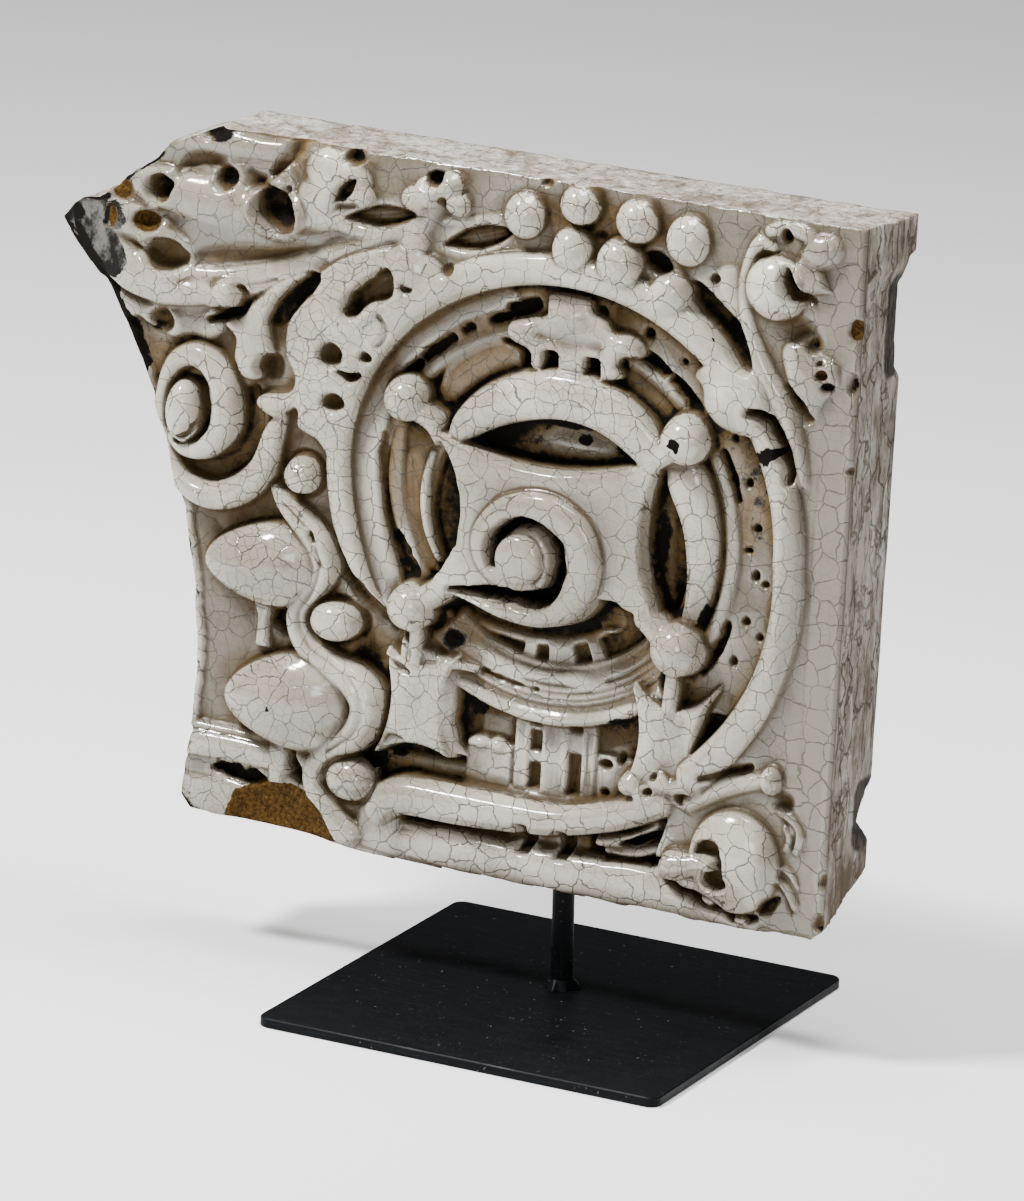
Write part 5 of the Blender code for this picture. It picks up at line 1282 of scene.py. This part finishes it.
def body_material(groups):
    """Weathered sides and back: light grey slip, cracked along its length, with rust-brown lines."""
    material, paint, shader, place = start_material("weathered_terracotta_body", groups)
    mix, ramp, times = paint.mix, paint.ramp, paint.times
    drawn = paint.node("Mapping", {"Vector": place, "Scale": (1, 1, 0.22)})[0]
    streak = paint.noise(drawn, 260, 9, 0.78)
    cloud = paint.noise(place, 24, 9, 0.72)
    smear = paint.noise(drawn, 110, 6, 0.65)
    base = mix(ramp(cloud, 0.38, 0.68), SLIP, SLIP_SHADE)
    base = mix(ramp(smear, 0.50, 0.66, 0, 0.80), base, SMEAR)
    base = mix(ramp(smear, 0.34, 0.46, 0.7, 0), base, SLIP_PALE)
    base = mix(ramp(streak, 0.50, 0.64, 0, 0.85), base, RUST)
    base = mix(ramp(streak, 0.30, 0.44, 0.6, 0), base, SLIP_BRIGHT)
    # cracks between long cells, fainter on the top
    warp = paint.noise(place, 45, 5, output="Color")
    shift = paint.node("VectorMath", {0: warp, "Scale": 0.020}, operation="SCALE")[0]
    split = paint.node("VectorMath", {0: drawn, 1: shift}, operation="ADD")[0]
    edge = paint.node("TexVoronoi", {"Vector": split, "Scale": 75}, feature="DISTANCE_TO_EDGE")["Distance"]
    cracks = times(ramp(edge, 0.008, 0.060, 1, 0), ramp(cloud, 0.36, 0.54, 0.40, 1))
    across, back, up = paint.node("SeparateXYZ", {0: place})
    top = ramp(up, ORIGIN.z + 0.442, ORIGIN.z + 0.449, 0.85, 0.35)
    base = mix(times(cracks, top), base, CRACK)
    # soot and painted black shadow in the two chips of the rear right arris, and damp brown at the foot
    corner = times(ramp(across, ORIGIN.x - 0.045, ORIGIN.x - 0.020), ramp(back, ORIGIN.y + 0.028, ORIGIN.y + 0.044))
    chips = paint.most(paint.window(up, ORIGIN.z + 0.340, ORIGIN.z + 0.425, 0.020),
                       paint.window(up, ORIGIN.z + 0.040, ORIGIN.z + 0.105, 0.020))
    damp = times(ramp(up, ORIGIN.z + 0.030, ORIGIN.z + 0.110, 0.8, 0), ramp(smear, 0.40, 0.58, 0.2, 1))
    base = mix(damp, base, DAMP)
    soot_and_shadow_field = paint.most(paint.attribute("fracture"), times(corner, chips))
    char_and_shadow = mix(ramp(streak, 0.4, 0.6), CHAR_AND_SHADOW, PALE_CHAR_AND_SHADOW)
    base = mix(paint.frayed_mask(place, soot_and_shadow_field, 0.3, 0.6, 0.5, 120), base, char_and_shadow)
    finish_material(paint, shader, paint.math("SUBTRACT", streak, times(cracks, 0.8)), 0.7, 0.0010, Base_Color=base,
                    Roughness=0.75, Specular_IOR_Level=0.12)
    return material


def steel_material(settings):
    """Blackened mild steel: brushed lines, darker clouds and bright specks."""
    material, paint, shader, place = start_material("blackened_steel_brushed")
    drawn = paint.node("Mapping", {"Vector": place, "Scale": (0.04, 1, 1)})[0]
    brush = paint.noise(drawn, 900, 4, 0.6)
    cloud = paint.noise(place, 22, 8, 0.65)
    speck = paint.noise(place, 420, 3)
    base = paint.mix(paint.ramp(cloud, 0.35, 0.7), tuple(settings.steel_colour), STEEL_CLOUD)
    base = paint.mix(paint.ramp(brush, 0.45, 0.75, 0, 0.5), base, STEEL_BRUSHED)
    base = paint.mix(paint.ramp(speck, 0.70, 0.76, 0, 0.7), base, STEEL_SPECK)
    finish_material(paint, shader, brush, 0.25, 0.0003, Base_Color=base,
                    Roughness=paint.ramp(cloud, 0.3, 0.75, 0.34, 0.55), Metallic=0, Specular_IOR_Level=0.06)
    return material


# ---------------------------------------------------------------- what a user can change

class PanelSettings(bpy.types.PropertyGroup):
    columns: bpy.props.IntProperty(name="Columns", description="Grid lines across the carved face",
                                   default=600, min=60)
    rows: bpy.props.IntProperty(name="Rows", description="Grid lines up the carved face",
                                default=490, min=50)
    levels: bpy.props.IntProperty(name="Levels", description="Steps through the thickness", default=16, min=2)
    triangles: bpy.props.IntProperty(name="Triangles", description="Most triangles in the finished panel",
                                     default=196000, min=10000)
    glaze_colour: bpy.props.FloatVectorProperty(name="Glaze", description="Cream of the clean glaze",
                                                subtype="COLOR", size=3, default=(0.68, 0.625, 0.525))
    glaze_shade: bpy.props.FloatVectorProperty(name="Glaze shade", description="Greyer cream of its thin places",
                                               subtype="COLOR", size=3, default=(0.42, 0.38, 0.305))


class StandSettings(bpy.types.PropertyGroup):
    steel_colour: bpy.props.FloatVectorProperty(name="Steel", description="Blackened finish of the stand",
                                                subtype="COLOR", size=3, default=(0.0025, 0.0028, 0.0034))


class StageSettings(bpy.types.PropertyGroup):
    floor_colour: bpy.props.FloatVectorProperty(name="Floor", description="Plain pale floor", subtype="COLOR",
                                                size=3, default=(0.90, 0.90, 0.90))
    lens: bpy.props.FloatProperty(name="Lens", description="Focal length of the camera in millimetres",
                                  default=246.7, min=20)


class FACADE_OT_panel(bpy.types.Operator):
    """Build the carved and glazed panel"""
    bl_idname = "facade.panel"
    bl_label = "Carved panel"

    def execute(self, context):
        settings = context.scene.facade_panel
        groups = {"crackle": crackle_group(), "frayed_mask": frayed_mask_group()}
        points, faces, kinds, masks = panel_arrays(settings.columns, settings.rows, settings.levels)
        mesh = mesh_from("carved_panel", points * MM + np.array(ORIGIN), faces, kinds, masks)
        materials = (glaze_material(groups, settings), body_material(groups))
        piece = add_piece("carved_panel", mesh, materials, "root", "glazed_terracotta", "terracotta_panel")
        thinned(piece, settings.triangles)
        return {"FINISHED"}


class FACADE_OT_stand(bpy.types.Operator):
    """Finish the steel rod and base plate"""
    bl_idname = "facade.stand"
    bl_label = "Steel stand"

    def execute(self, context):
        steel = steel_material(context.scene.facade_stand)
        for node in ("steel_rod", "base_plate"):
            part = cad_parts[node]
            for place in part.material_slots:
                place.material = steel
        return {"FINISHED"}


class FACADE_OT_stage(bpy.types.Operator):
    """Make the floor, the lights and the camera"""
    bl_idname = "facade.stage"
    bl_label = "Stage"

    def execute(self, context):
        settings = context.scene.facade_stage
        material, _, shader, _ = start_material("pale_floor")
        shader.inputs["Base Color"].default_value = (*settings.floor_colour, 1)
        shader.inputs["Roughness"].default_value = 0.9
        shader.inputs["Emission Color"].default_value = (1, 1, 1, 1)
        shader.inputs["Emission Strength"].default_value = 0.22
        size = 30
        corners = np.array([(-size, -size, 0), (size, -size, 0), (size, size, 0), (-size, size, 0)])
        mesh = mesh_from("floor", corners, np.array([[0, 1, 2, 3]]))
        mesh.materials.append(material)
        floor = bpy.data.objects.new("floor", mesh)
        context.scene.collection.objects.link(floor)
        world = bpy.data.worlds.new("studio")
        world.use_nodes = True
        world.node_tree.nodes["Background"].inputs["Color"].default_value = (1, 1, 1, 1)
        world.node_tree.nodes["Background"].inputs["Strength"].default_value = 0.13
        context.scene.world = world
        middle = Vector((-0.05, 0, 0.28))
        for name, place, size, power in (
                ("key", (-1.2, -1.05, 2.6), 0.5, 175), ("overhead", (0.2, 0.2, 2.5), 1, 75),
                ("front_fill", (1.1, -2.8, 1.2), 0.9, 20)):
            light = bpy.data.lights.new(name, "AREA")
            light.size = size
            light.energy = power
            lamp = bpy.data.objects.new(name, light)
            lamp.location = place
            lamp.rotation_mode = "QUATERNION"
            lamp.rotation_quaternion = (middle - Vector(place)).to_track_quat("-Z", "Y")
            context.scene.collection.objects.link(lamp)
        self.add_camera(context, settings)
        return {"FINISHED"}

    def add_camera(self, context, settings):
        """Camera that looks down at the face from its right; yaw, pitch and roll in radians."""
        yaw, pitch, roll = -0.4339, 0.2747, 0.0558
        forward = Vector((math.sin(yaw) * math.cos(pitch), math.cos(yaw) * math.cos(pitch), -math.sin(pitch)))
        level = Vector((math.cos(yaw), -math.sin(yaw), 0))
        upward = level.cross(forward)
        right = math.cos(roll) * level + math.sin(roll) * upward
        up = -math.sin(roll) * level + math.cos(roll) * upward
        place = Vector((1.83285, -4.430655, 1.55817)) + ORIGIN
        camera = bpy.data.objects.new("camera", bpy.data.cameras.new("camera"))
        camera.matrix_world = Matrix(((right.x, up.x, -forward.x, place.x), (right.y, up.y, -forward.y, place.y),
                                      (right.z, up.z, -forward.z, place.z), (0, 0, 0, 1)))
        camera.data.sensor_width = 36
        camera.data.lens = settings.lens
        context.scene.collection.objects.link(camera)
        context.scene.camera = camera


class FACADE_PT_sidebar(bpy.types.Panel):
    bl_label = "Facade panel"
    bl_idname = "FACADE_PT_sidebar"
    bl_space_type = "VIEW_3D"
    bl_region_type = "UI"
    bl_category = "Facade panel"

    def draw(self, context):
        for name in STEPS:
            self.layout.operator("facade." + name)


STEPS = ("panel", "stand", "stage")
SETTINGS = (("facade_panel", PanelSettings), ("facade_stand", StandSettings), ("facade_stage", StageSettings))
CLASSES = (PanelSettings, StandSettings, StageSettings, FACADE_OT_panel, FACADE_OT_stand, FACADE_OT_stage,
           FACADE_PT_sidebar)


def register():
    for kind in CLASSES:
        bpy.utils.register_class(kind)
    for name, kind in SETTINGS:
        setattr(bpy.types.Scene, name, bpy.props.PointerProperty(type=kind))


def unregister():
    for name, _ in SETTINGS:
        delattr(bpy.types.Scene, name)
    for kind in reversed(CLASSES):
        bpy.utils.unregister_class(kind)


def main():
    register()
    for name in STEPS:
        getattr(bpy.ops.facade, name)()


if __name__ == "__main__":
    main()
